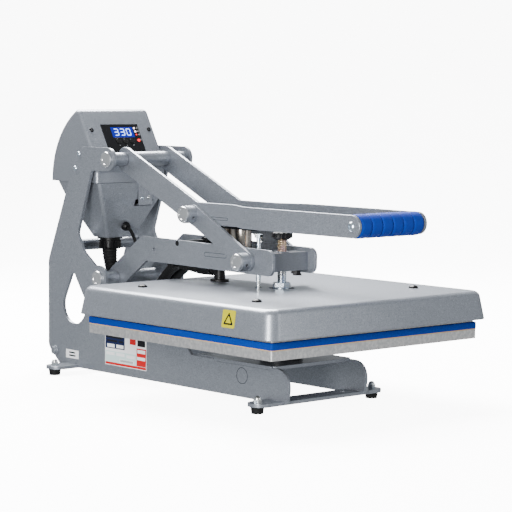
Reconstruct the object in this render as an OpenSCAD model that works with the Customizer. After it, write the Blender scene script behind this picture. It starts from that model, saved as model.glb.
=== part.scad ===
/* [Platens] */
// Side of the square lower platen, left to right
platen_w = 381; // [360:1:406]
// Side of the lower platen, front to back
platen_d = 381; // [370:1:400]
// Thickness of the aluminium lower platen
platen_t = 12.7; // [9:0.1:16]
// Height of the underside of the lower platen above the floor
platen_z = 89.6; // [86:0.1:96]
// Thickness of the soft pad on the lower platen
pad_t = 10.2; // [6:0.1:12]
// Air left between the pad and the heater plate when closed
pad_gap = 0.3; // [0.2:0.1:0.6]
// Thickness of the cast heater plate
heater_t = 15; // [12:0.5:18]
// Distance that the heater plate stays inside the pad's edge
heater_inset = 2.5; // [1:0.5:6]
// How far the painted cover's skirt reaches past the platen
cover_reach = 12.2; // [4:0.1:14]
// Height of the painted cover
cover_h = 39; // [36:1:44]
// How far the cover's sides lean in
cover_lean = 4.5; // [3:0.5:16]
// Sheet thickness of the painted cover
cover_wall = 2; // [1.5:0.5:3]

/* [Frame] */
// Width over the two side plates
frame_w = 149; // [146:1:160]
// Thickness of every laser-cut steel plate
plate_t = 4.76; // [4:0.02:5.5]
// Height of the rubber feet
foot_h = 9.5; // [8:0.5:14]
// Diameter of a rubber foot at the floor
foot_d = 19; // [16:1:26]
// Distance between left and right feet
foot_span_x = 214; // [200:1:230]
// Width of the strips that carry the feet
strip_w = 34; // [28:1:40]
// Front pair of feet, measured back from the origin
front_feet_y = -187; // [-187:1:-180]
// Rear pair of feet, measured back from the origin
rear_feet_y = 270; // [262:1:274]
// Height of the rails that carry the platform
rail_top = 59; // [54:1:64]
// Distance between the holes for a stand, across each strip
stand_hole_x = 100; // [80:1:110]
// Diameter of a hole for a stand bolt
stand_hole_d = 8.5; // [6:0.5:10]

/* [Linkage] */
// Handle pivot, back from the origin
top_pivot_y = 184.5; // [182:0.5:188]
// Handle pivot, above the floor
top_pivot_z = 325; // [323:0.5:328]
// Arm pivot, back from the origin
rear_pivot_y = 206; // [202:0.5:208]
// Arm pivot, above the floor
rear_pivot_z = 148; // [146:0.5:150]
// Pivot between the handle and the toggle links, back from the origin
mid_pivot_y = 22; // [18:0.5:26]
// Pivot between the handle and the toggle links, above the floor
mid_pivot_z = 252.5; // [250:0.5:254]
// Pivot between the toggle links and the arms, back from the origin
front_pivot_y = -93; // [-97:0.5:-90]
// Pivot between the toggle links and the arms, above the floor
front_pivot_z = 193; // [191:0.5:195]
// Width over the two lower arms
arms_w = 83.6; // [80:0.2:88]
// Width of the arm and link plates, seen from the side
link_w = 35.6; // [30:0.2:38]
// Width of the toggle links
toggle_w = 27; // [25:0.5:30]
// Diameter of the two long pivot shafts
shaft_d = 12.7; // [10:0.1:14]
// Radial running clearance of a shaft in its hole
shaft_fit = 0.08; // [0.04:0.02:0.1]
// Air between plates that slide past each other
plate_gap = 0.5; // [0.3:0.1:1]
// Diameter of the spacer tubes and bosses
spacer_d = 20.6; // [18:0.2:24]
// Diameter of the polished end caps
cap_d = 23; // [20:0.5:26]
// Length of an end cap
cap_l = 4; // [3:0.5:5]

/* [Handle] */
// Width over the two handle bars at the grip
grip_w = 126; // [120:1:150]
// Distance from the origin forward to the grip's axis
grip_y = -316; // [-330:1:-310]
// Height of the handle bars
bar_h = 30; // [26:1:34]
// Height of the grip's axis above the floor
grip_z = 254.7; // [252:0.1:257]
// Outer diameter of the foam grip
foam_d = 32; // [30:0.5:36]
// Diameter of the steel tube inside the foam
grip_tube_d = 22; // [19:0.5:25]
// Wall of the steel tubes
tube_wall = 2; // [1.5:0.25:3]

/* [Pressure screw] */
// Diameter of the pressure screw
screw_d = 12.7; // [10:0.1:14]
// Distance that the screw can lift the heater head
screw_travel = 10; // [6:1:12]
// Diameter of the black hand knob
knob_d = 29; // [24:1:34]
// Side of the square crossbar
crossbar_s = 25.4; // [22:0.1:28]
// Shank diameter of the hanger bolts
hanger_d = 6.35; // [5:0.05:8]

/* [Control box] */
// Width of the control box
box_w = 132; // [118:1:136]
// Height of the control box's top above the floor
box_top = 397; // [392:1:404]
// Rearmost point of the control box
box_rear = 337; // [334:1:342]
// Lean of the console face from the vertical, in degrees
console_tilt = 29.6; // [24:0.2:34]
// Height of the seam between the hood and the lower box
seam_z = 288; // [284:1:292]
// Wall of the control box
box_wall = 2.5; // [2:0.25:3]
// Width of the black control panel
panel_w = 70; // [60:1:80]
// Height of the black control panel along the slope
panel_h = 52; // [46:1:56]
// Diameter of the three push buttons
button_d = 7; // [5:0.5:9]

/* [Springs and cables] */
// Diameter of the gas spring's cylinder
gas_d = 20; // [16:0.5:21]
// Diameter of the gas spring's rod
gas_rod_d = 8; // [6:0.5:10]
// Diameter of the hose that carries the heater's leads
hose_d = 15; // [12:0.5:16]
// Diameter of the hold-down magnet's cable
magnet_cable_d = 5; // [4:0.5:6]
// Diameter of one hold-down magnet
magnet_d = 28; // [24:0.5:30]

/* [Hidden] */
$fn = 48;

paint = [0.57, 0.59, 0.62];
steel = [0.75, 0.76, 0.77];
black = [0.06, 0.06, 0.07];
blue = [0.07, 0.32, 0.76];

// Lateral planes, as distances from the centre plane
side_out = frame_w / 2;
side_in = side_out - plate_t;
arm_out = arms_w / 2;
arm_in = arm_out - plate_t;
link_in = arm_out + plate_gap;
link_out = link_in + plate_t;
bar_out = grip_w / 2;
bar_in = bar_out - plate_t;

// Heights of the platen stack
platen_y = -116;
pad_z = platen_z + platen_t;
heater_z = pad_z + pad_t + pad_gap;
cover_lift = 3.8;
cover_z = heater_z + cover_lift;
cover_top = cover_z + cover_h;
cover_hole_d = 37;
cover_w = platen_w + 2 * cover_reach + 3;
cover_d = platen_d + 2 * cover_reach;

// Pivots as [y, z]
top_pivot = [top_pivot_y, top_pivot_z];
rear_pivot = [rear_pivot_y, rear_pivot_z];
mid_pivot = [mid_pivot_y, mid_pivot_z];
front_pivot = [front_pivot_y, front_pivot_z];

// Gas spring ends as [y, z], and its place across the press
gas_frame_end = [190, 120];
gas_arm_end = [62, 208];
gas_x = 20;

// ---- Helpers ----

// Lays a [y, z] outline in the plane x, as a plate of thickness t towards +X
module plate_at(x, t) {
    translate([x, 0, 0]) rotate([90, 0, 90]) linear_extrude(t) children();
}

// A round bar along X between x0 and x1, centred on the [y, z] point p
module rod_x(p, x0, x1, d) {
    translate([x0, p[0], p[1]]) rotate([0, 90, 0]) cylinder(h = x1 - x0, d = d);
}

// A round bar along Z from z0 to z1
module rod_z(x, y, z0, z1, d) {
    translate([x, y, z0]) cylinder(h = z1 - z0, d = d);
}

// A tube along X
module tube_x(p, x0, x1, d, bore) {
    difference() {
        rod_x(p, x0, x1, d);
        rod_x(p, x0 - 1, x1 + 1, bore);
    }
}

// A block from its low corner to its high corner
module block(low, high) {
    translate(low) cube(high - low);
}

// Repeats a left-hand piece on the right
module both_sides() {
    children();
    mirror([1, 0, 0]) children();
}

// A flat bar with round ends between two points of an outline
module bar2d(a, b, w) {
    along = (b - a) / norm(b - a);
    side = [-along[1], along[0]] * w / 2;
    polygon([a + side, b + side, b - side, a - side]);
    translate(a) circle(d = w);
    translate(b) circle(d = w);
}

// A rectangle with round corners, centred
module rounded_rect(w, d, r) {
    square([w - 2 * r, d], center = true);
    square([w, d - 2 * r], center = true);
    for (sx = [-1, 1], sy = [-1, 1])
        translate([sx * (w / 2 - r), sy * (d / 2 - r)]) circle(r);
}

function unit(v) = v / norm(v);
function short_turn(a) = a > 180 ? a - 360 : a < -180 ? a + 360 : a;

// The arc of radius r that rounds corner p between its neighbours a and b
function corner_arc(a, p, b, r, steps) =
    r == 0 ? [p] :
    let (
        to_a = unit(a - p),
        to_b = unit(b - p),
        half = acos(to_a * to_b) / 2,
        centre = p + unit(to_a + to_b) * r / sin(half),
        from = p + to_a * r / tan(half) - centre,
        to = p + to_b * r / tan(half) - centre,
        start = atan2(from[1], from[0]),
        sweep = short_turn(atan2(to[1], to[0]) - start)
    )
    [for (i = [0 : steps]) centre + r * [cos(start + sweep * i / steps), sin(start + sweep * i / steps)]];

// An outline whose corners are [x, y, radius]
function rounded(corners, steps = 8) = [
    for (i = [0 : len(corners) - 1])
        let (
            n = len(corners),
            prev = corners[(i + n - 1) % n],
            here = corners[i],
            next = corners[(i + 1) % n]
        )
        each corner_arc([prev[0], prev[1]], [here[0], here[1]], [next[0], next[1]], here[2], steps)
];

// A tube of diameter d swept along a route of points
function route_frame(t) = let (side = unit(cross(t, [1, 0, 0.01]))) [side, cross(t, side)];
module sweep_tube(route, d, sides) {
    n = len(route);
    rings = [
        for (i = [0 : n - 1])
            let (
                ahead = route[min(i + 1, n - 1)] - route[max(i - 1, 0)],
                frame = route_frame(unit(ahead))
            )
            for (k = [0 : sides - 1])
                route[i] + d / 2 * (cos(360 * k / sides) * frame[0] + sin(360 * k / sides) * frame[1])
    ];
    walls = [
        for (i = [0 : n - 2], k = [0 : sides - 1])
            [i * sides + k, i * sides + (k + 1) % sides,
             (i + 1) * sides + (k + 1) % sides, (i + 1) * sides + k]
    ];
    first = [for (k = [sides - 1 : -1 : 0]) k];
    last = [for (k = [0 : sides - 1]) (n - 1) * sides + k];
    polyhedron(points = rings, faces = concat(walls, [first, last]));
}

// Smooths a route of hand-placed points with Catmull-Rom curves
function smooth_route(p, steps) = concat(
    [for (i = [0 : len(p) - 2], s = [0 : steps - 1])
        let (
            a = p[max(i - 1, 0)], b = p[i], c = p[i + 1], e = p[min(i + 2, len(p) - 1)],
            t = s / steps
        )
        0.5 * (2 * b + (c - a) * t + (2 * a - 5 * b + 4 * c - e) * t * t
            + (3 * b - a - 3 * c + e) * t * t * t)],
    [p[len(p) - 1]]
);

// Pieces drawn on the console face: x across, y into the box, z up the slope
console_foot = [box_rear - 119.5, 312];
module on_console() {
    translate([0, console_foot[0], console_foot[1]]) rotate([-console_tilt, 0, 0]) children();
}

// ---- Frame ----

foot_x = foot_span_x / 2;
strip_z = foot_h;
strip_top = strip_z + plate_t;
notch_fit = 0.1;
tab_front = -177;
tab_rear = -60;
platform_front = -182;
platform_rear = -16;
head_r = 17.3;
ear_r = 19;
plate_rear = box_rear - 6;

// Outline of a side plate: foot, rail, rear pivot ear, upright and head
module side_outline() {
    difference() {
        polygon(rounded([
            [-209, strip_z + 1, 2],
            [-212, 30, 4],
            [-212, rail_top - 2, 22],
            [-10, rail_top - 2, 2],
            [-3, rail_top + 6, 3],
            [92, rail_top + 10, 6],
            [rear_pivot_y - 30, rear_pivot_z - 22, 10],
            [rear_pivot_y - ear_r, rear_pivot_z - 8, 6],
            [rear_pivot_y - ear_r, rear_pivot_z + ear_r, ear_r - 1],
            [rear_pivot_y + 8, rear_pivot_z + ear_r, 4],
            [rear_pivot_y + 36, rear_pivot_z + 38, 30],
            [257, 212, 10],
            [223, top_pivot_z - head_r, 7],
            [top_pivot_y - head_r, top_pivot_z - head_r, head_r - 0.1],
            [top_pivot_y - head_r, top_pivot_z + head_r, head_r - 0.1],
            [257, top_pivot_z + head_r, 10],
            [plate_rear, 168, 24],
            [plate_rear, 36, 14],
            [plate_rear - 14, 24, 4],
            [plate_rear - 30, strip_z, 6]
        ]));
        // Weight-saving tear-drop hole
        translate([265, 103]) circle(28);
        polygon([[240, 115.5], [261.5, 146], [274.5, 146], [290, 115.5]]);
        translate([268, 145]) circle(6.5);
        // Notches for the two foot strips
        for (y = [front_feet_y, rear_feet_y])
            translate([y - strip_w / 2 - notch_fit, strip_z - 1])
                square([strip_w + 2 * notch_fit, plate_t + 1 + notch_fit]);
        // Notch for the platform's tab
        translate([tab_front - notch_fit, rail_top - plate_t - notch_fit])
            square([tab_rear - tab_front + 2 * notch_fit, plate_t + 5]);
        for (p = [top_pivot, rear_pivot]) translate(p) circle(d = shaft_d + 2 * shaft_fit);
        for (p = hood_bolts) translate(p) circle(d = hood_bolt_d);
        for (p = cross_tube_places) translate(p) circle(d = cross_bolt_d);
    }
}

hood_bolts = [[253.5, 331], [262.5, 309.5]];
hood_bolt_d = 4.2;
spreader_tube = [296, 191];
rear_tie = [313, 30];
cross_tube_places = [spreader_tube, rear_tie];
cross_bolt_d = 6.2;
cross_tube_d = 17;
gas_stud_end = gas_x - 7;

module side_plate(x) {
    color(paint) plate_at(x, plate_t) difference() {
        side_outline();
        // Only the right plate carries the gas spring's stud
        if (x > 0) translate(gas_frame_end) circle(d = cross_bolt_d);
    }
}
module side_plate_left() side_plate(-side_out);
module side_plate_right() side_plate(side_in);

module foot_strips() {
    color(paint)
    for (y = [front_feet_y, rear_feet_y])
        difference() {
            translate([0, y, strip_z]) linear_extrude(plate_t) union() {
                square([foot_span_x - 10, strip_w], center = true);
                for (s = [-1, 1]) translate([s * (foot_x - 5), 0]) circle(d = strip_w);
            }
            for (s = [-1, 1]) {
                rod_z(s * foot_x, y, strip_z - 1, strip_top + 1, stud_d + 0.4);
                rod_z(s * stand_hole_x / 2, y, strip_z - 1, strip_top + 1, stand_hole_d);
            }
        }
}

stud_d = 6;
foot_seat_d = 12;
module rubber_feet() {
    color(black)
    for (y = [front_feet_y, rear_feet_y], s = [-1, 1])
        translate([s * foot_x, y, 0]) difference() {
            cylinder(h = foot_h, d1 = foot_d - 3, d2 = foot_d);
            translate([0, 0, 3]) cylinder(h = foot_h, d = foot_seat_d);
        }
}

nut_flats = 10;
nut_h = 5;
module foot_studs() {
    color(steel)
    for (y = [front_feet_y, rear_feet_y], s = [-1, 1])
        translate([s * foot_x, y, 0]) {
            translate([0, 0, 3]) cylinder(h = 4, d = foot_seat_d - 0.4);
            translate([0, 0, 5]) cylinder(h = strip_top + nut_h - 5, d = stud_d);
            translate([0, 0, strip_top]) cylinder(h = nut_h, d = nut_flats / cos(30), $fn = 6);
            translate([0, 0, strip_top + nut_h]) intersection() {
                sphere(d = nut_flats - 0.6);
                cylinder(h = nut_flats, d = nut_flats);
            }
        }
}

module platform_plate() {
    color(paint)
    difference() {
        union() {
            block([-side_in, platform_front, rail_top - plate_t], [side_in, platform_rear, rail_top]);
            block([-side_out, tab_front, rail_top - plate_t], [side_out, tab_rear, rail_top]);
        }
        rod_z(0, platen_y, rail_top - plate_t - 1, rail_top + 1, pedestal_bolt_d + 0.6);
    }
}

pedestal_disc_d = 118;
pedestal_disc_t = 6;
pedestal_d = 60;
pedestal_bolt_d = 12;
module platen_pedestal() {
    color(black) {
        rod_z(0, platen_y, rail_top, platen_z - pedestal_disc_t, pedestal_d);
        rod_z(0, platen_y, platen_z - pedestal_disc_t, platen_z, pedestal_disc_d);
        rod_z(0, platen_y, rail_top - plate_t - 8, rail_top, pedestal_bolt_d);
        translate([0, platen_y, rail_top - plate_t - 8])
            cylinder(h = 8, d = 19 / cos(30), $fn = 6);
    }
}

module lower_platen() {
    color([0.68, 0.68, 0.68])
    translate([0, platen_y, platen_z]) linear_extrude(platen_t) rounded_rect(platen_w, platen_d, 3);
}

module silicone_pad() {
    color(blue)
    translate([0, platen_y, pad_z]) linear_extrude(pad_t) rounded_rect(platen_w + 1, platen_d + 1, 3);
}

// Two long shafts with a polished cap outside each side plate
module pivot_shafts() {
    color(steel)
    for (p = [top_pivot, rear_pivot]) {
        rod_x(p, -side_out, side_out, shaft_d);
        both_sides() rod_x(p, side_out, side_out + cap_l, cap_d);
    }
}

// Spacer tubes that hold the arms in the middle of the frame
module pivot_spacers() {
    color(paint)
    both_sides()
        for (p = [top_pivot, rear_pivot])
            tube_x(p, arm_out + plate_gap, side_in, spacer_d, shaft_d);
}

// Tubes that hold the side plates apart, and the stud that the gas spring turns on
module cross_tubes() {
    color(paint) {
        rod_x(spreader_tube, -side_in, side_in, cross_tube_d);
        rod_x(rear_tie, -side_in, side_in, 12);
        for (p = cross_tube_places)
            both_sides() rod_x(p, side_in, side_out, cross_bolt_d);
        // Bolt heads of the rear tie
        both_sides() {
            rod_x(rear_tie, side_out, side_out + 1.5, 15);
            rod_x(rear_tie, side_out + 1.5, side_out + 5, 11);
        }
        rod_x(gas_frame_end, gas_stud_end, gas_x + 7, 11);
        rod_x(gas_frame_end, gas_x + 7, side_in, 16);
        rod_x(gas_frame_end, side_in, side_out, cross_bolt_d);
        rod_x(gas_frame_end, side_out, side_out + 3, 13);
    }
}

// ---- Control box ----

box_x = box_w / 2;
console_up = [sin(console_tilt), cos(console_tilt)];
console_top = console_foot + console_up * ((box_top - console_foot[1]) / console_up[1]);
back_r = 122.8;
back_centre = [box_rear - back_r, seam_z + 2];
back_turn = asin((box_top - back_centre[1]) / back_r);
seam_gap = 0.6;
nose_y = console_foot[0] + 2.5;

// Outline of the hood, pulled in by a wall thickness for its hollow
module hood_outline(wall, floor_z = seam_z - 1) {
    back = [for (i = [10 : -1 : 0])
        back_centre + (back_r - wall) * [cos(back_turn * i / 10), sin(back_turn * i / 10)]];
    shoulder = console_foot + [wall * 1.2, 0];
    top_front = console_top + [wall * 0.58, -wall];
    polygon(concat(
        rounded([
            [nose_y + wall, floor_z, 0],
            [nose_y + wall, console_foot[1] - 8, 3],
            [shoulder[0], shoulder[1], 4],
            [top_front[0], top_front[1], 9 - wall],
            [back[0][0], back[0][1], 0]
        ]),
        [for (i = [1 : 10]) back[i]],
        [[box_rear - wall, floor_z]]
    ));
}

panel_z0 = 20;
window_edge = 0.4;
rear_window = [[-46, 294], [46, 330]];
hood_edge = 3;
module hood_shell() {
    color(paint)
    difference() {
        hull() {
            plate_at(-box_x, box_w) hood_outline(hood_edge, seam_z - 12);
            plate_at(-box_x + hood_edge, box_w - 2 * hood_edge) hood_outline(0, seam_z - 12);
        }
        block([-box_x - 1, nose_y - 5, seam_z - 20], [box_x + 1, box_rear + 5, seam_z + seam_gap]);
        plate_at(-box_x + box_wall, box_w - 2 * box_wall) hood_outline(box_wall);
        // Window for the control panel
        on_console()
            block([-panel_w / 2 - window_edge, -5, panel_z0 - window_edge],
                  [panel_w / 2 + window_edge, 8, panel_z0 + panel_h + window_edge]);
        // Window for the inlet and the switch
        block([rear_window[0][0], box_rear - 20, rear_window[0][1]],
              [rear_window[1][0], box_rear + 1, rear_window[1][1]]);
        on_console()
            for (s = [-1, 1]) translate([s * 54.5, -2, 63]) rotate([-90, 0, 0]) cylinder(h = 8, d = 4.4);
        for (p = hood_bolts) rod_x(p, -box_x - 1, box_x + 1, hood_bolt_d);
    }
}

// One level of the tapering lower box: half width, front, rear and height
lower_levels = [
    [box_x - 4, nose_y, box_rear - 11, seam_z],
    [box_x - 10.5, nose_y + 1.6, box_rear - 24, 262],
    [27.3, nose_y + 26, box_rear - 54, 204]
];
corner_r = 6;
module lower_level(level, wall, h) {
    low = [-level[0] + wall, level[1] + wall];
    high = [level[0] - wall, level[2] - wall];
    translate([0, (low[1] + high[1]) / 2, level[3]]) linear_extrude(h)
        rounded_rect(high[0] - low[0], high[1] - low[1], corner_r - wall / 2, $fn = 32);
}
module lower_block(wall) {
    for (i = [0 : 1])
        hull() {
            lower_level(lower_levels[i], wall, i == 0 ? 0.01 : 0.02);
            lower_level(lower_levels[i + 1], wall, 0.01);
        }
}
gland_place = [-8, 264];
grommet_place = [0, nose_y + 19, 220];
module lower_housing() {
    color(paint)
    difference() {
        lower_block(0);
        translate([0, 0, box_wall]) lower_block(box_wall);
        // Slot for the switch bracket
        block([8, nose_y - 6, 252], [42, nose_y + 14, 262]);
        rod_z(gland_place[0], gland_place[1], 190, 215, 20);
        translate(grommet_place - [0, 6.5, 0]) rotate([-66, 0, 0]) cylinder(h = 30, d = 9);
    }
}

rocker_axis = [box_rear - 13.7, 311];
rocker_pin_d = 3;
// Plate behind the rear window, with the two ears and the pin of the rocker
module rear_panel() {
    color(paint) {
        difference() {
            intersection() {
                block([rear_window[0][0] - 4, box_rear - 12, rear_window[0][1] - 2],
                      [rear_window[1][0] + 4, box_rear - 9.5, rear_window[1][1] + 2]);
                plate_at(-box_x + box_wall, box_w - 2 * box_wall) hood_outline(box_wall + 0.05);
            }
            block([-34.2, box_rear - 20, 299.8], [-5.8, box_rear, 322.2]);
            block([11.8, box_rear - 20, 300.2], [30.2, box_rear, 321.9]);
        }
        for (x = [9.4, 30.4])
            block([x, box_rear - 16.5, 307], [x + 2.2, box_rear - 11, 315]);
        rod_x(rocker_axis, 9.6, 32.4, rocker_pin_d);
    }
}

// Recessed three-pin inlet for a detachable power cord
module power_inlet() {
    color(black)
    difference() {
        union() {
            block([-34, box_rear - 36, 300], [-6, box_rear - 9.5, 322]);
            block([-37, box_rear - 9.5, 298], [-3, box_rear - 7, 324]);
        }
        block([-31, box_rear - 24, 303], [-9, box_rear, 319]);
    }
    color(steel)
    for (x = [-27, -20, -13])
        block([x - 1, box_rear - 25, 309], [x + 1, box_rear - 11, 314]);
}

module power_rocker() {
    color(black)
    difference() {
        intersection() {
            block([12.4, box_rear - 20, 301.4], [29.6, box_rear, 320.6]);
            translate([12.4, 0, 0]) rotate([90, 0, 90]) linear_extrude(17.2)
                polygon([
                    [box_rear - 16.4, 303], [box_rear - 16.4, 319], [box_rear - 7.5, 320],
                    [box_rear - 9.5, 311], [box_rear - 5, 302]
                ]);
        }
        rod_x(rocker_axis, 10, 32, rocker_pin_d + 2 * shaft_fit);
    }
}

button_x = [-10.5, 2.8, 15.5];
button_z = 43.5;
button_fit = 0.3;
module control_panel() {
    color(black)
    on_console() difference() {
        union() {
            block([-panel_w / 2, 0.3, panel_z0], [panel_w / 2, box_wall + 1, panel_z0 + panel_h]);
            block([-panel_w / 2 - 4, box_wall + 0.6, panel_z0 - 4],
                  [panel_w / 2 + 4, box_wall + 2.1, panel_z0 + panel_h + 4]);
        }
        for (x = button_x)
            translate([x, -1, button_z]) rotate([-90, 0, 0]) cylinder(h = 8, d = button_d + 2 * button_fit);
        block([-18, -1, panel_z0 + 30], [24, 1.3, panel_z0 + 48]);
    }
}

module display() {
    color([0.05, 0.12, 0.5])
    on_console() block([-17.6, 0.4, panel_z0 + 30.4], [23.6, 1.3, panel_z0 + 47.6]);
}

module button(x) {
    color(black)
    on_console() translate([x, -0.6, button_z]) rotate([-90, 0, 0]) {
        cylinder(h = 6.4, d = button_d);
        translate([0, 0, 5.8]) cylinder(h = 1.2, d = button_d + 2);
    }
}
module button_up() button(button_x[2]);
module button_mode() button(button_x[1]);
module button_down() button(button_x[0]);

// Controller board with its relay and its transformer
module circuit_board() {
    color([0.05, 0.3, 0.15])
    on_console() {
        block([-50, 12, 14], [50, 13.6, 76]);
        block([-44, 13.6, 20], [-12, 36, 50]);
        block([4, 13.6, 24], [24, 30, 44]);
        for (x = [-48, 48], z = [16, 74])
            translate([x, 2.8, z]) rotate([-90, 0, 0]) cylinder(h = 9.4, d = 5);
    }
}

flange_h = 2.2;
gland_d = 34;
gland_h = 16;
gland_foot = lower_levels[2][3];
hose_top = gland_foot - flange_h - gland_h;
// Ribbed strain gland of the heater hose, and the grommet of the magnet's cable
module cable_glands() {
    color(black) {
        difference() {
            union() {
                translate([gland_place[0], gland_place[1], gland_foot - flange_h])
                    cylinder(h = flange_h, d = gland_d + 4.6);
                translate([gland_place[0], gland_place[1], gland_foot - flange_h - gland_h]) {
                    cylinder(h = gland_h, d = gland_d - 3);
                    for (i = [0 : 9])
                        rotate([0, 0, 36 * i]) translate([gland_d / 2 - 4, -2.5, 2]) cube([4, 5, gland_h - 2]);
                }
                rod_z(gland_place[0], gland_place[1], gland_foot, gland_foot + 8, 19.6);
            }
            rod_z(gland_place[0], gland_place[1], hose_top - 1, gland_foot + 9, hose_d + 0.4);
        }
        translate(grommet_place - [0, 6.5, 0]) rotate([-66, 0, 0]) difference() {
            union() {
                translate([0, 0, -1]) cylinder(h = 5, d1 = 11, d2 = 14);
                cylinder(h = 9, d = 8.4);
            }
            translate([0, 0, -2]) cylinder(h = 14, d = magnet_cable_d + 1.4);
        }
    }
}

module sensor_bracket() {
    color(paint)
    difference() {
        union() {
            plate_at(12, 26) polygon([
                [nose_y - 1.6, 253.5], [nose_y - 0.1, 253.5], [nose_y - 0.1, seam_z], [nose_y - 1.6, seam_z]
            ]);
            block([16, nose_y - 0.1, 253.5], [34, nose_y + 20, 255]);
        }
        for (x = [19, 31]) translate([x, nose_y - 5, 264.5]) rotate([-90, 0, 0]) cylinder(h = 10, d = 3.2);
    }
}

// Round-headed screws of the side plates, the console and the switch bracket
module housing_screws() {
    color(steel) {
        both_sides() for (p = hood_bolts) {
            rod_x(p, box_x - 8, side_out, hood_bolt_d - 0.2);
            translate([side_out, p[0], p[1]]) rotate([0, 90, 0]) intersection() {
                translate([0, 0, -2]) sphere(d = 9);
                cylinder(h = 4, d = 9);
            }
        }
        for (x = [19, 31])
            translate([x, nose_y - 1.6, 264.5]) rotate([90, 0, 0]) {
                translate([0, 0, -1.4]) cylinder(h = 2, d = 3);
                intersection() {
                    translate([0, 0, -1.6]) sphere(d = 7);
                    cylinder(h = 3, d = 7);
                }
            }
    }
    color(black)
    on_console()
        for (s = [-1, 1]) translate([s * 54.5, 0.6, 63]) rotate([-90, 0, 0]) cylinder(h = 6, d = 4.2);
}

// ---- Handle ----

jog_rear = -60;
jog_front = -106;
grip_bolt_d = 8;
pin_d = 12.7;
boss_d = 25.2;
boss_l = 15;
pin_head_t = 3;
cap_gap = 0.3;

// Upper link and handle bar in one bent plate
module handle_plate_left() {
    color(paint)
    difference() {
        union() {
            plate_at(-arm_out, plate_t) {
                bar2d(top_pivot, mid_pivot, link_w);
                translate([jog_rear, grip_z - bar_h / 2]) square([mid_pivot_y - jog_rear, bar_h]);
            }
            translate([0, 0, grip_z - bar_h / 2]) linear_extrude(bar_h) polygon([
                [-arm_out, jog_rear], [-arm_in, jog_rear], [-bar_in, jog_front], [-bar_out, jog_front]
            ]);
            block([-bar_out, grip_y, grip_z - bar_h / 2], [-bar_in, jog_front, grip_z + bar_h / 2]);
            rod_x([grip_y, grip_z], -bar_out, -bar_in, bar_h);
        }
        rod_x(top_pivot, -arm_out - 1, -arm_in + 1, shaft_d + 2 * shaft_fit);
        rod_x(mid_pivot, -arm_out - 1, -arm_in + 1, pin_d);
        rod_x([grip_y, grip_z], -bar_out - 1, -bar_in + 1, grip_bolt_d);
    }
}
module handle_plate_right() mirror([1, 0, 0]) handle_plate_left();

hub_d = 22;
// Tube round the top shaft, and the plate that carries the magnet's armature
module handle_cross_members() {
    color(paint) {
        tube_x(top_pivot, -arm_in, arm_in, hub_d, shaft_d + 2 * shaft_fit);
        block([-arm_in, -58, armature_z + armature_t], [arm_in, 10, armature_z + armature_t + plate_t]);
    }
}

module grip_tube() {
    color(steel)
    difference() {
        rod_x([grip_y, grip_z], -bar_in, bar_in, grip_tube_d);
        both_sides() rod_x([grip_y, grip_z], bar_in - 16, bar_in + 1, grip_bolt_d);
        rod_x([grip_y, grip_z], -bar_in + 18, bar_in - 18, grip_tube_d - 2 * tube_wall);
    }
}

foam_l = 2 * (bar_in - 0.5);
foam_grooves = 5;
groove_deep = 1.6;
groove_w = 3;
foam_end_r = 4;
module foam_grip() {
    r = foam_d / 2;
    pitch = foam_l / (foam_grooves + 1);
    grooves = [
        for (i = [1 : foam_grooves])
            for (p = [[-groove_w, 0], [-groove_w / 2, -groove_deep], [groove_w / 2, -groove_deep], [groove_w, 0]])
                [r + p[1], pitch * i + p[0]]
    ];
    color(blue)
    translate([-foam_l / 2, grip_y, grip_z]) rotate([0, 90, 0]) rotate_extrude()
        polygon(concat(
            [[grip_tube_d / 2, 0], [r - foam_end_r, 0], [r - 1.2, 1.2], [r, foam_end_r]],
            grooves,
            [[r, foam_l - foam_end_r], [r - 1.2, foam_l - 1.2], [r - foam_end_r, foam_l], [grip_tube_d / 2, foam_l]]
        ));
}

module grip_bolts() {
    color(steel)
    both_sides() {
        rod_x([grip_y, grip_z], bar_in - 14, bar_out, grip_bolt_d);
        // Low round head with a hexagon socket
        translate([bar_out, grip_y, grip_z]) rotate([0, 90, 0]) difference() {
            intersection() {
                translate([0, 0, -5.5]) sphere(d = 17);
                cylinder(h = 4, d = 12.8);
            }
            translate([0, 0, 1.2]) cylinder(h = 4, d = 6 / cos(30), $fn = 6);
        }
    }
}

magnet_places = [-32, 5];
bridge_z = 196;
bridge_top = bridge_z + plate_t;
magnet_base_t = 6.2;
magnet_h = 26;
magnet_top = bridge_top + magnet_base_t + magnet_h;
magnet_air = 0.35;
armature_t = 5;
armature_z = magnet_top + magnet_air;
module armature_plate() {
    color(black) block([-20, -72, armature_z], [20, 22, armature_z + armature_t]);
}

// Pins fixed in the handle, which the toggle links turn on
module mid_pivot_pins() {
    color(steel)
    both_sides() {
        rod_x(mid_pivot, arm_in - pin_head_t, arm_in, pin_d + 5);
        rod_x(mid_pivot, arm_in, link_out + boss_l + cap_gap, pin_d);
        rod_x(mid_pivot, link_out + boss_l + cap_gap, link_out + boss_l + cap_gap + cap_l, cap_d);
    }
}

// ---- Toggle links ----

module toggle_link_left() {
    color(paint)
    difference() {
        union() {
            plate_at(-link_out, plate_t) bar2d(mid_pivot, front_pivot, toggle_w);
            for (p = [mid_pivot, front_pivot]) rod_x(p, -link_out - boss_l, -link_out, boss_d);
        }
        rod_x(mid_pivot, -link_out - boss_l - 1, -link_in + 1, pin_d + 2 * shaft_fit);
        rod_x(front_pivot, -link_out - boss_l - 1, -link_in + 1, pin_d);
        // Set screws of the two bosses
        for (p = [mid_pivot, front_pivot])
            translate([-link_out - boss_l / 2, p[0], p[1]])
                rotate([110, 0, 0]) translate([0, 0, pin_d / 2 + 0.5]) cylinder(h = boss_d, d = 4.2);
    }
}
module toggle_link_right() mirror([1, 0, 0]) toggle_link_left();

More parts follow.
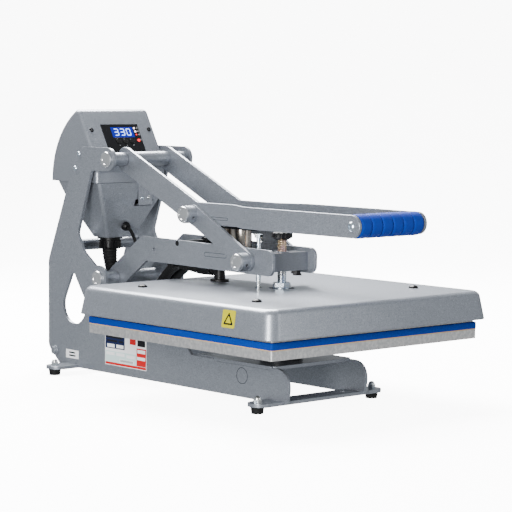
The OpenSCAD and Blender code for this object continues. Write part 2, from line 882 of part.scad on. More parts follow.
module front_pivot_pins() {
    color(steel)
    both_sides() {
        rod_x(front_pivot, link_in, link_out + boss_l, pin_d);
        rod_x(front_pivot, link_out + boss_l, link_out + boss_l + cap_l, cap_d);
    }
}

// ---- Lower arms ----

arm_bend = [139, 196];
arm_front = [-143, 193];
leg_dir = unit(arm_bend - rear_pivot);
reach_dir = unit(arm_front - arm_bend);
leg_side = [-leg_dir[1], leg_dir[0]];
reach_side = [-reach_dir[1], reach_dir[0]];
mitre = unit(leg_side + reach_side);
mitre_arm = mitre * (link_w / 2) / (mitre * leg_side);
arm_end_r = 11;
arm_hole = [115, 196];
gas_pin_d = 8;

module arm_outline() {
    difference() {
        polygon(rounded([
            concat(rear_pivot + (leg_side - leg_dir) * link_w / 2, link_w / 2 - 0.1),
            concat(arm_bend + mitre_arm, 5),
            concat(arm_front + reach_side * link_w / 2, arm_end_r),
            concat(arm_front - reach_side * link_w / 2, arm_end_r),
            concat(arm_bend - mitre_arm, 9),
            concat(rear_pivot - (leg_side + leg_dir) * link_w / 2, link_w / 2 - 0.1)
        ]));
        translate(rear_pivot) circle(d = shaft_d + 2 * shaft_fit);
        translate(front_pivot) circle(d = pin_d + 2 * shaft_fit);
        translate(arm_hole) circle(d = 5);
        translate(gas_arm_end) circle(d = gas_pin_d);
    }
}
module lower_arm_left() { color(paint) plate_at(-arm_out, plate_t) arm_outline(); }
module lower_arm_right() { color(paint) plate_at(arm_in, plate_t) arm_outline(); }

module arm_hub_tube() {
    color(paint) tube_x(rear_pivot, -arm_in, arm_in, hub_d, shaft_d + 2 * shaft_fit);
}

crossbar_z = front_pivot_z - 0.5;
bush_d = 21;
module crossbar() {
    color(paint)
    difference() {
        union() {
            difference() {
                block([-arm_in, platen_y - crossbar_s / 2, crossbar_z - crossbar_s / 2],
                      [arm_in, platen_y + crossbar_s / 2, crossbar_z + crossbar_s / 2]);
                block([-arm_in - 1, platen_y - crossbar_s / 2 + 3, crossbar_z - crossbar_s / 2 + 3],
                      [arm_in + 1, platen_y + crossbar_s / 2 - 3, crossbar_z + crossbar_s / 2 - 3]);
            }
            rod_z(0, platen_y, crossbar_z - crossbar_s / 2 + 3, crossbar_z + crossbar_s / 2 - 3, 19);
            rod_z(0, platen_y, crossbar_z + crossbar_s / 2, crossbar_z + crossbar_s / 2 + 1.5, bush_d);
        }
        rod_z(0, platen_y, crossbar_z - crossbar_s, crossbar_z + crossbar_s, screw_d + 2 * shaft_fit);
        for (s = [-1, 1])
            rod_z(s * lock_x, platen_y, crossbar_z - crossbar_s, crossbar_z, lock_d);
    }
}

lock_x = 26;
lock_d = 8;
// Bolt heads under the crossbar, and the pin of the gas spring
module arm_bolts() {
    low = crossbar_z - crossbar_s / 2;
    color(black)
    for (s = [-1, 1]) {
        rod_z(s * lock_x, platen_y, low, low + 8, lock_d);
        translate([s * lock_x, platen_y, low - 5.5]) cylinder(h = 5.5, d = 12.7 / cos(30), $fn = 6);
    }
    color(steel) {
        rod_x(gas_arm_end, -arm_out, arm_out, gas_pin_d);
        rod_x(gas_arm_end, gas_x - 12, gas_x - 9, gas_pin_d + 6);
        rod_x(gas_arm_end, gas_x + 9, gas_x + 12, gas_pin_d + 6);
    }
}

hanger_x = 22;
hanger_y = -92;
hanger_fit = 1;
module bridge_plate() {
    color(paint)
    difference() {
        block([-arm_in, platen_y + crossbar_s / 2, bridge_z], [arm_in, 28, bridge_top]);
        for (s = [-1, 1])
            rod_z(s * hanger_x, hanger_y, bridge_z - 1, bridge_top + 1, hanger_d + 2 * hanger_fit);
    }
}

module magnet_base() {
    color(black) block([-19, -50, bridge_top], [19, 24, bridge_top + magnet_base_t]);
}

module electromagnets() {
    color([0.72, 0.69, 0.64])
    for (y = magnet_places)
        rod_z(0, y, bridge_top + magnet_base_t, magnet_top, magnet_d);
}

hose_clip_y = 84;
// Saddle on the left arm that carries the heater hose and the magnet cable
module hose_clip() {
    color(black)
    difference() {
        block([-arm_in, hose_clip_y - 6, hose_mid[1] - 2], [-14, hose_clip_y + 6, hose_mid[1] + 13]);
        translate([hose_mid[0], hose_clip_y - 7, hose_mid[1]]) rotate([-90, 0, 0])
            cylinder(h = 14, d = hose_d + 0.8);
    }
}

// ---- Heater head ----

heater_w = platen_w - 2 * heater_inset;
heater_d = platen_d - 2 * heater_inset;
heater_top = heater_z + heater_t;
element_d = 8;
element_z = heater_top - element_d / 2 - 0.3;
element_x = 120;
element_y = 124;

// Three sides of a rectangle, with its ends turned up at the rear
module element_path(d, rise) {
    for (s = [-1, 1]) {
        translate([s * element_x, platen_y - element_y, element_z]) {
            rotate([-90, 0, 0]) cylinder(h = 2 * element_y, d = d);
            sphere(d = d);
        }
        translate([s * element_x, platen_y + element_y, element_z]) {
            sphere(d = d);
            cylinder(h = rise, d = d);
        }
    }
    rod_x([platen_y - element_y, element_z], -element_x, element_x, d);
}

module heater_plate() {
    color(steel)
    difference() {
        translate([0, platen_y, heater_z]) linear_extrude(heater_t) rounded_rect(heater_w, heater_d, 3);
        element_path(element_d + 0.4, 9);
        translate([0, 0, element_d / 2]) element_path(element_d + 0.4, 9);
        rod_z(0, 60, heater_z + 6, heater_top + 1, 5.2);
        for (s = [-1, 1])
            rod_z(s * hanger_x, hanger_y, heater_top - 9, heater_top + 1, hanger_d);
    }
}

module heating_element() {
    color([0.35, 0.33, 0.32]) element_path(element_d, 14);
}

head_hub_d = 64;
module insulation() {
    color([0.85, 0.8, 0.66])
    difference() {
        translate([0, platen_y, heater_top + 0.3]) linear_extrude(14)
            square([heater_w - 30, heater_d - 30], center = true);
        rod_z(0, platen_y, heater_top, heater_top + 20, head_hub_d + 4);
        for (s = [-1, 1]) {
            rod_z(s * element_x, platen_y + element_y, heater_top, heater_top + 20, element_d + 3);
            rod_z(s * hanger_x, hanger_y, heater_top, heater_top + 20, hanger_d + 3);
        }
    }
}

cover_r = 18;
cover_edge = 9;
elbow_x = -6;
elbow_y = 9;
cover_screw_x = 146;
cover_screw_y = [10, -228];

// One level of the cover: its lean so far, its foot and its height
module cover_level(lean, z, h) {
    translate([0, platen_y, z]) linear_extrude(h)
        rounded_rect(cover_w - 2 * lean, cover_d - 2 * lean, cover_r, $fn = 24);
}
module head_cover() {
    color(paint)
    difference() {
        hull() {
            cover_level(0, cover_z, 2);
            for (turn = [0, 30, 60, 90])
                cover_level(cover_lean + cover_edge * (1 - cos(turn)),
                            cover_top - cover_edge + cover_edge * sin(turn) - 0.5, 0.5);
        }
        hull() {
            cover_level(cover_wall, cover_z - 2, 4);
            cover_level(cover_lean + cover_wall, cover_top - cover_edge - 1, 0.5);
            cover_level(cover_lean + cover_wall + 0.3 * cover_edge, cover_top - cover_wall - 3.5, 0.5);
            cover_level(cover_lean + cover_wall + 0.75 * cover_edge, cover_top - cover_wall - 0.5, 0.5);
        }
        rod_z(0, platen_y, cover_top - 6, cover_top + 1, cover_hole_d);
        for (s = [-1, 1])
            rod_z(s * hanger_x, hanger_y, cover_top - 6, cover_top + 1, hanger_d + 4);
        rod_z(elbow_x, elbow_y, cover_top - 6, cover_top + 1, 12.4);
        for (s = [-1, 1], y = cover_screw_y)
            rod_z(s * cover_screw_x, y, cover_top - 6, cover_top + 1, 5);
    }
}

// Thrust seat for the pressure screw, bolted to the heater plate
module head_hub() {
    color(steel)
    difference() {
        union() {
            rod_z(0, platen_y, heater_top, heater_top + 8, head_hub_d);
            rod_z(0, platen_y, heater_top, cover_top - 3, 30);
        }
        rod_z(0, platen_y, heater_top + 10, cover_top, screw_d + 2 * shaft_fit);
        for (s = [-1, 1])
            rod_z(s * hanger_x, hanger_y, heater_top - 1, heater_top + 9, hanger_d + 3);
    }
}

hanger_top = 230;
hanger_head_h = 5;
module hanger_bolts() {
    color(steel)
    for (s = [-1, 1]) {
        rod_z(s * hanger_x, hanger_y, heater_top - 9, hanger_top, hanger_d);
        translate([s * hanger_x, hanger_y, hanger_top - hanger_head_h])
            cylinder(h = hanger_head_h, d = 11 / cos(30), $fn = 6);
    }
}

// Black button-headed screws with the posts that carry the cover
module cover_screws() {
    color(black)
    for (s = [-1, 1], y = cover_screw_y)
        translate([s * cover_screw_x, y, 0]) {
            translate([0, 0, cover_top]) intersection() {
                translate([0, 0, -4.6]) sphere(d = 17.5);
                cylinder(h = 5, d = 13.5);
            }
            translate([0, 0, cover_top - 6]) cylinder(h = 6, d = 4.9);
        }
}

elbow_z = 172;
elbow_rear = 52;
module cable_elbow() {
    color(black)
    difference() {
        union() {
            rod_z(elbow_x, elbow_y, cover_top, cover_top + 3, 27);
            rod_z(elbow_x, elbow_y, cover_top - 5, elbow_z, 12.2);
            rod_z(elbow_x, elbow_y, cover_top + 3, elbow_z, 16);
            translate([elbow_x, elbow_y, elbow_z]) sphere(d = 16);
            translate([elbow_x, elbow_y, elbow_z]) rotate([-90, 0, 0]) cylinder(h = elbow_rear - elbow_y, d = 16);
            translate([elbow_x, elbow_y + 14, elbow_z]) rotate([-90, 0, 0])
                cylinder(h = elbow_rear - elbow_y - 14, d = hose_d + 4);
        }
        translate([elbow_x, elbow_rear - 14, elbow_z]) rotate([-90, 0, 0]) cylinder(h = 15, d = hose_d + 1.2);
    }
}

// ---- Pressure screw ----

screw_foot = heater_top + 10.3;
knob_z = 222;
knob_h = 11;
module pressure_screw() {
    color(steel) {
        rod_z(0, platen_y, screw_foot, knob_z + 7, screw_d);
        translate([0, platen_y, cover_top + 1.6]) cylinder(h = 6.4, d = 22 / cos(30), $fn = 6);
        rod_z(0, platen_y, cover_top - 2.4, cover_top + 1.6, 27);
    }
}

module pressure_knob() {
    color(black)
    difference() {
        union() {
            rod_z(0, platen_y, knob_z + 3.5, knob_z + knob_h, knob_d);
            translate([0, platen_y, knob_z]) cylinder(h = 3.5, d1 = knob_d - 14, d2 = knob_d - 2);
        }
        rod_z(0, platen_y, knob_z - 1, knob_z + 7, screw_d);
    }
}

// ---- Gas spring ----

gas_vec = gas_arm_end - gas_frame_end;
gas_len = norm(gas_vec);
gas_tilt = atan2(gas_vec[1], gas_vec[0]);
gas_body_end = gas_len - 30;
gas_eye_slack = 3.6;
// Draws along the spring: x across, y along from the frame end
module on_gas() {
    translate([gas_x, gas_frame_end[0], gas_frame_end[1]]) rotate([gas_tilt, 0, 0]) children();
}
module along(y0, y1, d) {
    translate([0, y0, 0]) rotate([-90, 0, 0]) cylinder(h = y1 - y0, d = d);
}
module gas_cylinder() {
    color(black)
    on_gas() difference() {
        union() {
            along(12, gas_body_end, gas_d);
            along(0, 13, 10);
            translate([-6, 0, 0]) rotate([0, 90, 0]) cylinder(h = 12, d = 19);
        }
        translate([-7, 0, 0]) rotate([0, 90, 0]) cylinder(h = 14, d = 11 + 2 * shaft_fit);
        along(20, gas_body_end + 1, gas_rod_d + 0.8);
    }
}
module gas_rod() {
    eye_d = gas_pin_d + 2 * gas_eye_slack;
    on_gas() difference() {
        union() {
            color(steel) along(24, gas_len - 8, gas_rod_d);
            color(black) translate([-5, gas_len, 0]) rotate([0, 90, 0]) cylinder(h = 10, d = eye_d + 6);
        }
        translate([-6, gas_len, 0]) rotate([0, 90, 0]) cylinder(h = 12, d = eye_d);
    }
}

// ---- Cables ----

hose_mid = [-14, 176];
// From the gland under the control box, in a loop behind the head, to the elbow
hose_route = [
    [-8, 264, 194], [-8, 264, 176], [-8, 259, 152], [-9, 246, 132], [-11, 222, 116], [-13, 192, 110],
    [-14, 162, 120], [-14, 138, 140], [-14, 112, 164], [-14, 96, 173], [-14, 84, 176], [-10.5, 69, 174],
    [-6.5, 57, 172.1], [-6, 50, 172], [-6, 44, 172]
];
module heater_hose() {
    color(black) sweep_tube(smooth_route(hose_route, 3), hose_d, 12);
}

magnet_cable_route = [
    [0, 240.4, 223.5], [0, 231.6, 219.6], [-0.5, 222.5, 215], [-3.5, 211, 206.5], [-10, 196, 195],
    [-22, 168, 188], [-30, 140, 187], [-32, 112, 190], [-32, 84, 194], [-31, 62, 200], [-26, 46, 204],
    [-18, 36, 204], [-14, 30, 204], [-14, 24.3, 204]
];
module magnet_cable() {
    color(black) sweep_tube(smooth_route(magnet_cable_route, 3), magnet_cable_d, 8);
}

side_plate_left();
side_plate_right();
foot_strips();
rubber_feet();
foot_studs();
platform_plate();
platen_pedestal();
lower_platen();
silicone_pad();
pivot_shafts();
pivot_spacers();
cross_tubes();
hood_shell();
lower_housing();
rear_panel();
control_panel();
display();
circuit_board();
power_inlet();
cable_glands();
sensor_bracket();
housing_screws();
button_up();
button_mode();
button_down();
power_rocker();
handle_plate_left();
handle_plate_right();
handle_cross_members();
grip_tube();
foam_grip();
grip_bolts();
armature_plate();
mid_pivot_pins();
toggle_link_left();
toggle_link_right();
front_pivot_pins();
lower_arm_left();
lower_arm_right();
arm_hub_tube();
crossbar();
bridge_plate();
magnet_base();
electromagnets();
arm_bolts();
hose_clip();
heater_plate();
heating_element();
insulation();
head_cover();
head_hub();
hanger_bolts();
cover_screws();
cable_elbow();
pressure_screw();
pressure_knob();
gas_cylinder();
gas_rod();
heater_hose();
magnet_cable();
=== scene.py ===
import math

import bmesh
import bpy
from mathutils import Matrix, Vector


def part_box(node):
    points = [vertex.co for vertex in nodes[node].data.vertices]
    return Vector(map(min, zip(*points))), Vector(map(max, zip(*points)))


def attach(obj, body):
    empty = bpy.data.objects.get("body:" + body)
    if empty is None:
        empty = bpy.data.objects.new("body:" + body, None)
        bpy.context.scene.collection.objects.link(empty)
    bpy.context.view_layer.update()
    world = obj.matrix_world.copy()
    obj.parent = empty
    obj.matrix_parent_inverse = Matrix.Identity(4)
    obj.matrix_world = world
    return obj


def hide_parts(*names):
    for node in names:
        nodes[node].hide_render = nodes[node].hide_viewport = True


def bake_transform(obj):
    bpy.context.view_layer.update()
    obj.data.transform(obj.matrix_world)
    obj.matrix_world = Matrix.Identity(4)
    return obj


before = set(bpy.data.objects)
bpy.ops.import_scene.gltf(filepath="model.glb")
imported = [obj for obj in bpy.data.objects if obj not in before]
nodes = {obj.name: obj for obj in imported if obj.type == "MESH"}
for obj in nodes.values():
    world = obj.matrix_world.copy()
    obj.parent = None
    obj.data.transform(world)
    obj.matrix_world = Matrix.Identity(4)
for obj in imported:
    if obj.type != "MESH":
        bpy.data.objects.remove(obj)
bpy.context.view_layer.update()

MM = 0.001
SHARP = math.radians(32)


def mm(x, y, z):
    """A point given in millimetres."""
    return Vector((x, y, z)) * MM


def middle(node):
    low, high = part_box(node)
    return (low + high) / 2


# ---- Camera ----

CAMERA_TURN = math.radians(-41.61)
CAMERA_LIFT = math.radians(4.9)
CAMERA_ROLL = math.radians(0.43)
CAMERA_AIM = mm(0, -54.27, 195.75)
CAMERA_DISTANCE = 2.79609
LENS = 139.67
SENSOR = 36
SHIFT_X = 0.00705


def make_camera():
    turn, lift, roll = CAMERA_TURN, CAMERA_LIFT, CAMERA_ROLL
    back = Vector((math.sin(turn) * math.cos(lift), -math.cos(turn) * math.cos(lift), math.sin(lift)))
    level = Vector((math.cos(turn), math.sin(turn), 0))
    rise = back.cross(level)
    right = level * math.cos(roll) + rise * math.sin(roll)
    up = rise * math.cos(roll) - level * math.sin(roll)
    camera = bpy.data.objects.new("camera", bpy.data.cameras.new("camera"))
    bpy.context.scene.collection.objects.link(camera)
    camera.data.sensor_width = SENSOR
    camera.data.lens = LENS
    camera.data.shift_x = SHIFT_X
    camera.matrix_world = Matrix((
        (right.x, up.x, back.x, 0), (right.y, up.y, back.y, 0), (right.z, up.z, back.z, 0), (0, 0, 0, 1)
    ))
    camera.location = CAMERA_AIM + back * CAMERA_DISTANCE
    bpy.context.scene.camera = camera


make_camera()


# ---- Materials ----

class Look:
    """A node material with one principled shader, built up step by step."""

    def __init__(self, name, color, roughness, metallic=0.0, specular=0.5):
        self.material = bpy.data.materials.new(name)
        self.material.use_nodes = True
        self.tree = self.material.node_tree
        self.shader = self.tree.nodes["Principled BSDF"]
        self.color = color
        self.set("Base Color", (*color, 1))
        self.set("Roughness", roughness)
        self.set("Metallic", metallic)
        self.set("Specular IOR Level", specular)
        self.place = self.node("ShaderNodeTexCoord").outputs["Object"]
        self.bumps = None

    def set(self, socket, value):
        self.shader.inputs[socket].default_value = value

    def node(self, kind, **settings):
        made = self.tree.nodes.new(kind)
        for key, value in settings.items():
            setattr(made, key, value)
        return made

    def link(self, a, b):
        self.tree.links.new(a, b)

    def noise(self, scale, detail=2.0, rough=0.5, stretch=None):
        """Noise over the surface; scale is in features per metre."""
        texture = self.node("ShaderNodeTexNoise")
        texture.inputs["Scale"].default_value = scale
        texture.inputs["Detail"].default_value = detail
        texture.inputs["Roughness"].default_value = rough
        source = self.place
        if stretch:
            mapping = self.node("ShaderNodeMapping")
            mapping.inputs["Scale"].default_value = stretch
            self.link(source, mapping.inputs["Vector"])
            source = mapping.outputs["Vector"]
        self.link(source, texture.inputs["Vector"])
        return texture.outputs["Fac"]

    def cells(self, scale):
        """Distance to the nearest of many scattered points."""
        texture = self.node("ShaderNodeTexVoronoi")
        texture.inputs["Scale"].default_value = scale
        self.link(self.place, texture.inputs["Vector"])
        return texture.outputs["Distance"]

    def ramp(self, source, stops):
        """Maps a value through grey stops [(position, value)]."""
        ramp = self.node("ShaderNodeValToRGB")
        points = ramp.color_ramp.elements
        while len(points) < len(stops):
            points.new(0.5)
        for point, (position, value) in zip(points, stops):
            point.position = position
            point.color = (value, value, value, 1)
        self.link(source, ramp.inputs["Fac"])
        return ramp.outputs["Color"]

    def fleck(self, mask, start, full, amount, color):
        """Lays a colour where the mask rises from start to full."""
        self.tint(self.ramp(mask, [(start, 0.0), (full, amount)]), color)

    def tint(self, mask, color):
        """Lays another colour over the base where the mask is light."""
        mix = self.node("ShaderNodeMix", data_type="RGBA")
        socket = self.shader.inputs["Base Color"]
        if socket.is_linked:
            self.link(socket.links[0].from_socket, mix.inputs[6])
        else:
            mix.inputs[6].default_value = (*self.color, 1)
        mix.inputs[7].default_value = (*color, 1)
        self.link(mask, mix.inputs[0])
        self.link(mix.outputs[2], socket)

    def vary_roughness(self, mask, low, high):
        spread = self.node("ShaderNodeMapRange")
        spread.inputs["To Min"].default_value = low
        spread.inputs["To Max"].default_value = high
        self.link(mask, spread.inputs["Value"])
        self.link(spread.outputs["Result"], self.shader.inputs["Roughness"])

    def bump(self, height, strength, depth):
        """Adds relief; depth is in millimetres."""
        bump = self.node("ShaderNodeBump")
        bump.inputs["Strength"].default_value = strength
        bump.inputs["Distance"].default_value = depth * MM
        self.link(height, bump.inputs["Height"])
        if self.bumps:
            self.link(self.bumps, bump.inputs["Normal"])
        self.bumps = bump.outputs["Normal"]
        self.link(self.bumps, self.shader.inputs["Normal"])


def grey_paint(name, tone=1.0, roughness=0.36):
    base = [c * tone for c in (0.215, 0.230, 0.258)]
    look = Look(name, base, roughness, 0.62)
    look.set("Coat Weight", 0.35)
    look.set("Coat Roughness", 0.14)
    look.fleck(look.noise(1500, 1.0), 0.50, 0.66, 0.85, [c * 2.1 for c in base])
    look.fleck(look.noise(1150, 1.0), 0.52, 0.70, 0.65, [c * 0.48 for c in base])
    look.fleck(look.noise(9, 3.0), 0.35, 0.75, 0.30, [c * 0.84 for c in base])
    look.vary_roughness(look.noise(700, 3.0), roughness - 0.07, roughness + 0.10)
    look.bump(look.noise(420, 3.0), 0.18, 0.12)
    return look.material


def raw_aluminium(name):
    look = Look(name, (0.42, 0.42, 0.42), 0.45, 0.7)
    look.fleck(look.noise(260, 6.0, 0.72), 0.42, 0.66, 0.8, (0.70, 0.68, 0.66))
    look.fleck(look.noise(520, 4.0, 0.7), 0.56, 0.70, 0.8, (0.20, 0.195, 0.19))
    look.tint(look.ramp(look.cells(150), [(0.0, 0.55), (0.12, 0.0)]), (0.28, 0.26, 0.24))
    look.vary_roughness(look.noise(300, 5.0, 0.7), 0.32, 0.62)
    look.bump(look.noise(340, 6.0, 0.7), 0.55, 0.35)
    look.bump(look.noise(700, 1.0, stretch=(1, 1, 0.06)), 0.25, 0.2)
    return look.material


def silicone_sponge(name):
    look = Look(name, (0.0005, 0.025, 0.225), 0.80, specular=0.15)
    look.fleck(look.noise(650, 4.0, 0.7), 0.38, 0.66, 0.7, (0.001, 0.050, 0.34))
    look.fleck(look.noise(900, 3.0, 0.6), 0.52, 0.68, 0.6, (0.0002, 0.010, 0.10))
    look.bump(look.noise(800, 4.0, 0.7), 0.6, 0.3)
    return look.material


def foam(name):
    look = Look(name, (0.0003, 0.024, 0.26), 0.62, specular=0.2)
    look.fleck(look.noise(700, 3.0, 0.6), 0.40, 0.70, 0.5, (0.001, 0.055, 0.42))
    look.fleck(look.noise(40, 2.0), 0.40, 0.80, 0.4, (0.0005, 0.018, 0.20))
    look.vary_roughness(look.noise(500, 3.0), 0.5, 0.75)
    look.bump(look.cells(1100), 0.35, 0.15)
    look.bump(look.noise(160, 2.0), 0.2, 0.4)
    return look.material


def rubber(name, tone=0.004, roughness=0.60):
    look = Look(name, (tone, tone, tone * 1.05), roughness, specular=0.25)
    look.fleck(look.noise(300, 4.0, 0.7), 0.45, 0.75, 0.6, (tone * 2.2,) * 3)
    look.vary_roughness(look.noise(420, 3.0), roughness - 0.12, roughness + 0.15)
    look.bump(look.noise(900, 3.0), 0.25, 0.12)
    return look.material


def moulded(name, color=(0.003, 0.003, 0.0035), roughness=0.38):
    look = Look(name, color, roughness, specular=0.22)
    look.fleck(look.noise(60, 3.0), 0.4, 0.8, 0.5, tuple(c * 1.6 + 0.001 for c in color))
    look.vary_roughness(look.noise(240, 4.0, 0.6), roughness - 0.08, roughness + 0.14)
    look.bump(look.cells(1400), 0.18, 0.08)
    return look.material


def bare_metal(name, color, roughness, marks=1.0, blotch=None):
    look = Look(name, color, roughness, 1.0)
    dark = [c * 0.62 for c in color]
    look.fleck(look.noise(130, 5.0, 0.65), 0.48, 0.78, 0.7 * marks, dark)
    if blotch:
        look.fleck(look.noise(75, 2.0), 0.42, 0.60, 0.85, blotch)
    look.vary_roughness(look.noise(220, 4.0, 0.6), roughness - 0.07, roughness + 0.12)
    look.bump(look.noise(1300, 2.0, stretch=(0.05, 1, 1)), 0.12 * marks, 0.05)
    return look.material


def lit(name, color, strength, rim):
    look = Look(name, color, 0.3)
    look.set("Emission Color", (*color, 1))
    look.set("Emission Strength", strength)
    look.fleck(look.noise(800, 1.0), 0.3, 0.8, 0.3, rim)
    return look.material


def dark_window(name, color, glow):
    look = Look(name, color, 0.16, specular=0.3)
    look.set("Emission Color", (0.01, 0.03, 0.85, 1))
    look.set("Emission Strength", glow)
    look.fleck(look.noise(90, 2.0), 0.4, 0.9, 0.35, tuple(c * 1.5 for c in color))
    look.vary_roughness(look.noise(60, 3.0), 0.08, 0.2)
    return look.material


def sticker(name, color, roughness=0.35):
    look = Look(name, color, roughness, specular=0.15)
    look.fleck(look.noise(200, 3.0), 0.4, 0.9, 0.25, tuple(c * 0.9 for c in color))
    look.bump(look.noise(50, 2.0), 0.08, 0.1)
    return look.material


def wool(name):
    look = Look(name, (0.62, 0.55, 0.40), 0.95)
    look.fleck(look.noise(500, 5.0, 0.8), 0.4, 0.7, 0.7, (0.75, 0.70, 0.55))
    look.bump(look.noise(600, 6.0, 0.8), 0.9, 0.8)
    return look.material


def solder_mask(name):
    look = Look(name, (0.01, 0.12, 0.045), 0.3)
    look.tint(look.ramp(look.cells(420), [(0.10, 0.8), (0.16, 0.0)]), (0.55, 0.45, 0.2))
    look.vary_roughness(look.noise(200, 2.0), 0.2, 0.45)
    return look.material


PAINT = grey_paint("grey_paint")
# A paler, glossier copy of the grey paint for rounded edges and the rims of etched marks: partly edge wear,
# partly painted highlight.
PAINT_EDGE_WEAR_AND_HIGHLIGHT = grey_paint("grey_paint_edge_wear_and_highlight", 1.28, 0.28)
# A darker copy of the grey paint for the crossbar: painted shade for the handle's shadow on its front face.
PAINT_PAINTED_SHADE = grey_paint("grey_paint_painted_shade", 0.60)
ALUMINIUM = raw_aluminium("raw_aluminium")
SPONGE = silicone_sponge("blue_silicone")
FOAM = foam("blue_foam")
RUBBER = rubber("black_rubber")
HOSE = rubber("hose_sleeve", 0.003, 0.36)
PLASTIC = moulded("black_plastic")
BLACK_STEEL = moulded("black_enamel", (0.003, 0.003, 0.0035), 0.28)
POLISHED = bare_metal("polished_steel", (0.74, 0.74, 0.74), 0.20, 0.5)
ZINC = bare_metal("zinc_blue", (0.56, 0.63, 0.70), 0.22, 0.7, (0.66, 0.66, 0.62))
GOLD = bare_metal("zinc_gold", (0.72, 0.53, 0.30), 0.24, 0.7, (0.66, 0.42, 0.40))
STEEL = bare_metal("bare_steel", (0.60, 0.59, 0.57), 0.26)
NICKEL = bare_metal("nickel_plate", (0.40, 0.36, 0.31), 0.20, 0.6)
ELEMENT = bare_metal("heat_tinted_steel", (0.26, 0.22, 0.20), 0.4)
TAN = sticker("tan_backing", (0.55, 0.36, 0.19), 0.7)
WHITE_LABEL = sticker("white_label", (0.82, 0.82, 0.82))
YELLOW_LABEL = sticker("yellow_label", (0.46, 0.41, 0.0), 0.8)
INK = sticker("label_ink", (0.006, 0.006, 0.008))
RED_INK = sticker("label_red", (0.50, 0.008, 0.010))
PANEL_FACE = dark_window("panel_face", (0.004, 0.004, 0.005), 0.0)
WINDOW = dark_window("display_window", (0.001, 0.002, 0.05), 0.50)
DIGIT = lit("digit_glow", (0.30, 0.46, 1.0), 3.4, (0.4, 0.55, 1.0))
LED_WHITE = lit("led_white", (1.0, 0.80, 0.80), 3.0, (1.0, 0.7, 0.7))
LED_RED = lit("led_red", (1.0, 0.01, 0.015), 1.6, (0.8, 0.0, 0.0))
PRINT = sticker("panel_print", (0.30, 0.30, 0.31))
GROOVE = sticker("etched_line", (0.045, 0.048, 0.055), 0.6)
NAVY_INK = sticker("label_navy", (0.006, 0.012, 0.05))
PALE_INK = sticker("label_pale", (0.55, 0.70, 0.68))
WOOL = wool("glass_wool")
BOARD = solder_mask("solder_mask")


# ---- Mesh helpers ----


def finish_mesh(name, bm, material, body, stands_for=()):
    """Turns a bmesh into a smooth-shaded piece that rides on a CAD body."""
    bmesh.ops.recalc_face_normals(bm, faces=bm.faces)
    mesh = bpy.data.meshes.new(name)
    bm.to_mesh(mesh)
    bm.free()
    mesh.materials.append(material)
    mesh.polygons.foreach_set("use_smooth", [True] * len(mesh.polygons))
    mesh.set_sharp_from_angle(angle=SHARP)
    piece = bpy.data.objects.new(name, mesh)
    bpy.context.scene.collection.objects.link(piece)
    if body:
        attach(piece, body)
    if stands_for:
        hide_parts(*stands_for)
    return piece


def round_edges(piece, width, material_index=-1):
    """Rounds every edge that is sharper than the shading angle."""
    rounding = piece.modifiers.new("edges", "BEVEL")
    rounding.width = width
    rounding.segments = 2
    rounding.limit_method = "ANGLE"
    rounding.angle_limit = SHARP
    rounding.material = material_index


def dress(node, material, edge, edge_material=None):
    """Gives a CAD node its material, rounded edges and even shading."""
    piece = nodes[node]
    mesh = piece.data
    mesh.materials.clear()
    mesh.materials.append(material)
    if edge_material:
        mesh.materials.append(edge_material)
    if "custom_normal" in mesh.attributes:
        mesh.attributes.remove(mesh.attributes["custom_normal"])
    mesh.polygons.foreach_set("use_smooth", [True] * len(mesh.polygons))
    weld = piece.modifiers.new("weld", "WELD")
    weld.merge_threshold = 0.00001
    flat = piece.modifiers.new("flat_faces", "DECIMATE")
    flat.decimate_type = "DISSOLVE"
    flat.angle_limit = math.radians(0.5)
    round_edges(piece, edge * MM, 1 if edge_material else -1)
    even = piece.modifiers.new("shading", "WEIGHTED_NORMAL")
    even.weight = 60


def ring(bm, points):
    return [bm.verts.new(p) for p in points]


def bridge(bm, low, high, closed=True):
    """Quads between two rings with the same number of points."""
    count = len(low)
    for i in range(count if closed else count - 1):
        j = (i + 1) % count
        bm.faces.new((low[i], low[j], high[j], high[i]))


def loft(bm, rings, cap_start=True):
    """Joins rings of points into a body; the last ring is always closed by a face."""
    made = [ring(bm, r) for r in rings]
    for low, high in zip(made, made[1:]):
        bridge(bm, low, high)
    if cap_start:
        bm.faces.new(list(reversed(made[0])))
    bm.faces.new(made[-1])
    return made


def lathe(bm, profile, place=Matrix.Identity(4), sides=40):
    """Turns (radius, height) points round the local Z axis; a radius of 0 closes the end."""
    rings = []
    for radius, height in profile:
        if radius < 1e-9:
            rings.append([bm.verts.new(place @ Vector((0, 0, height)))])
        else:
            around = disc_outline(radius, sides)
            rings.append([bm.verts.new(place @ Vector((x, y, height))) for x, y in around])
    for low, high in zip(rings, rings[1:]):
        if len(low) == 1 and len(high) > 1:
            for k in range(sides):
                bm.faces.new((low[0], high[(k + 1) % sides], high[k]))
        elif len(high) == 1 and len(low) > 1:
            for k in range(sides):
                bm.faces.new((low[k], low[(k + 1) % sides], high[0]))
        elif len(low) > 1:
            bridge(bm, low, high)


def rod(bm, place, radius, length, sides=32):
    """A closed cylinder from the origin of the matrix along its Z."""
    lathe(bm, [(0, 0), (radius, 0), (radius, length), (0, length)], place, sides)


def aimed(at, direction, side=None):
    """A matrix whose Z runs along direction and whose origin is at the point."""
    z = Vector(direction).normalized()
    x = Vector(side) if side else (Vector((0, 0, 1)) if abs(z.z) < 0.9 else Vector((1, 0, 0)))
    x = (x - z * x.dot(z)).normalized()
    y = z.cross(x)
    return Matrix((
        (x.x, y.x, z.x, at[0]), (x.y, y.y, z.y, at[1]), (x.z, y.z, z.z, at[2]), (0, 0, 0, 1)
    ))


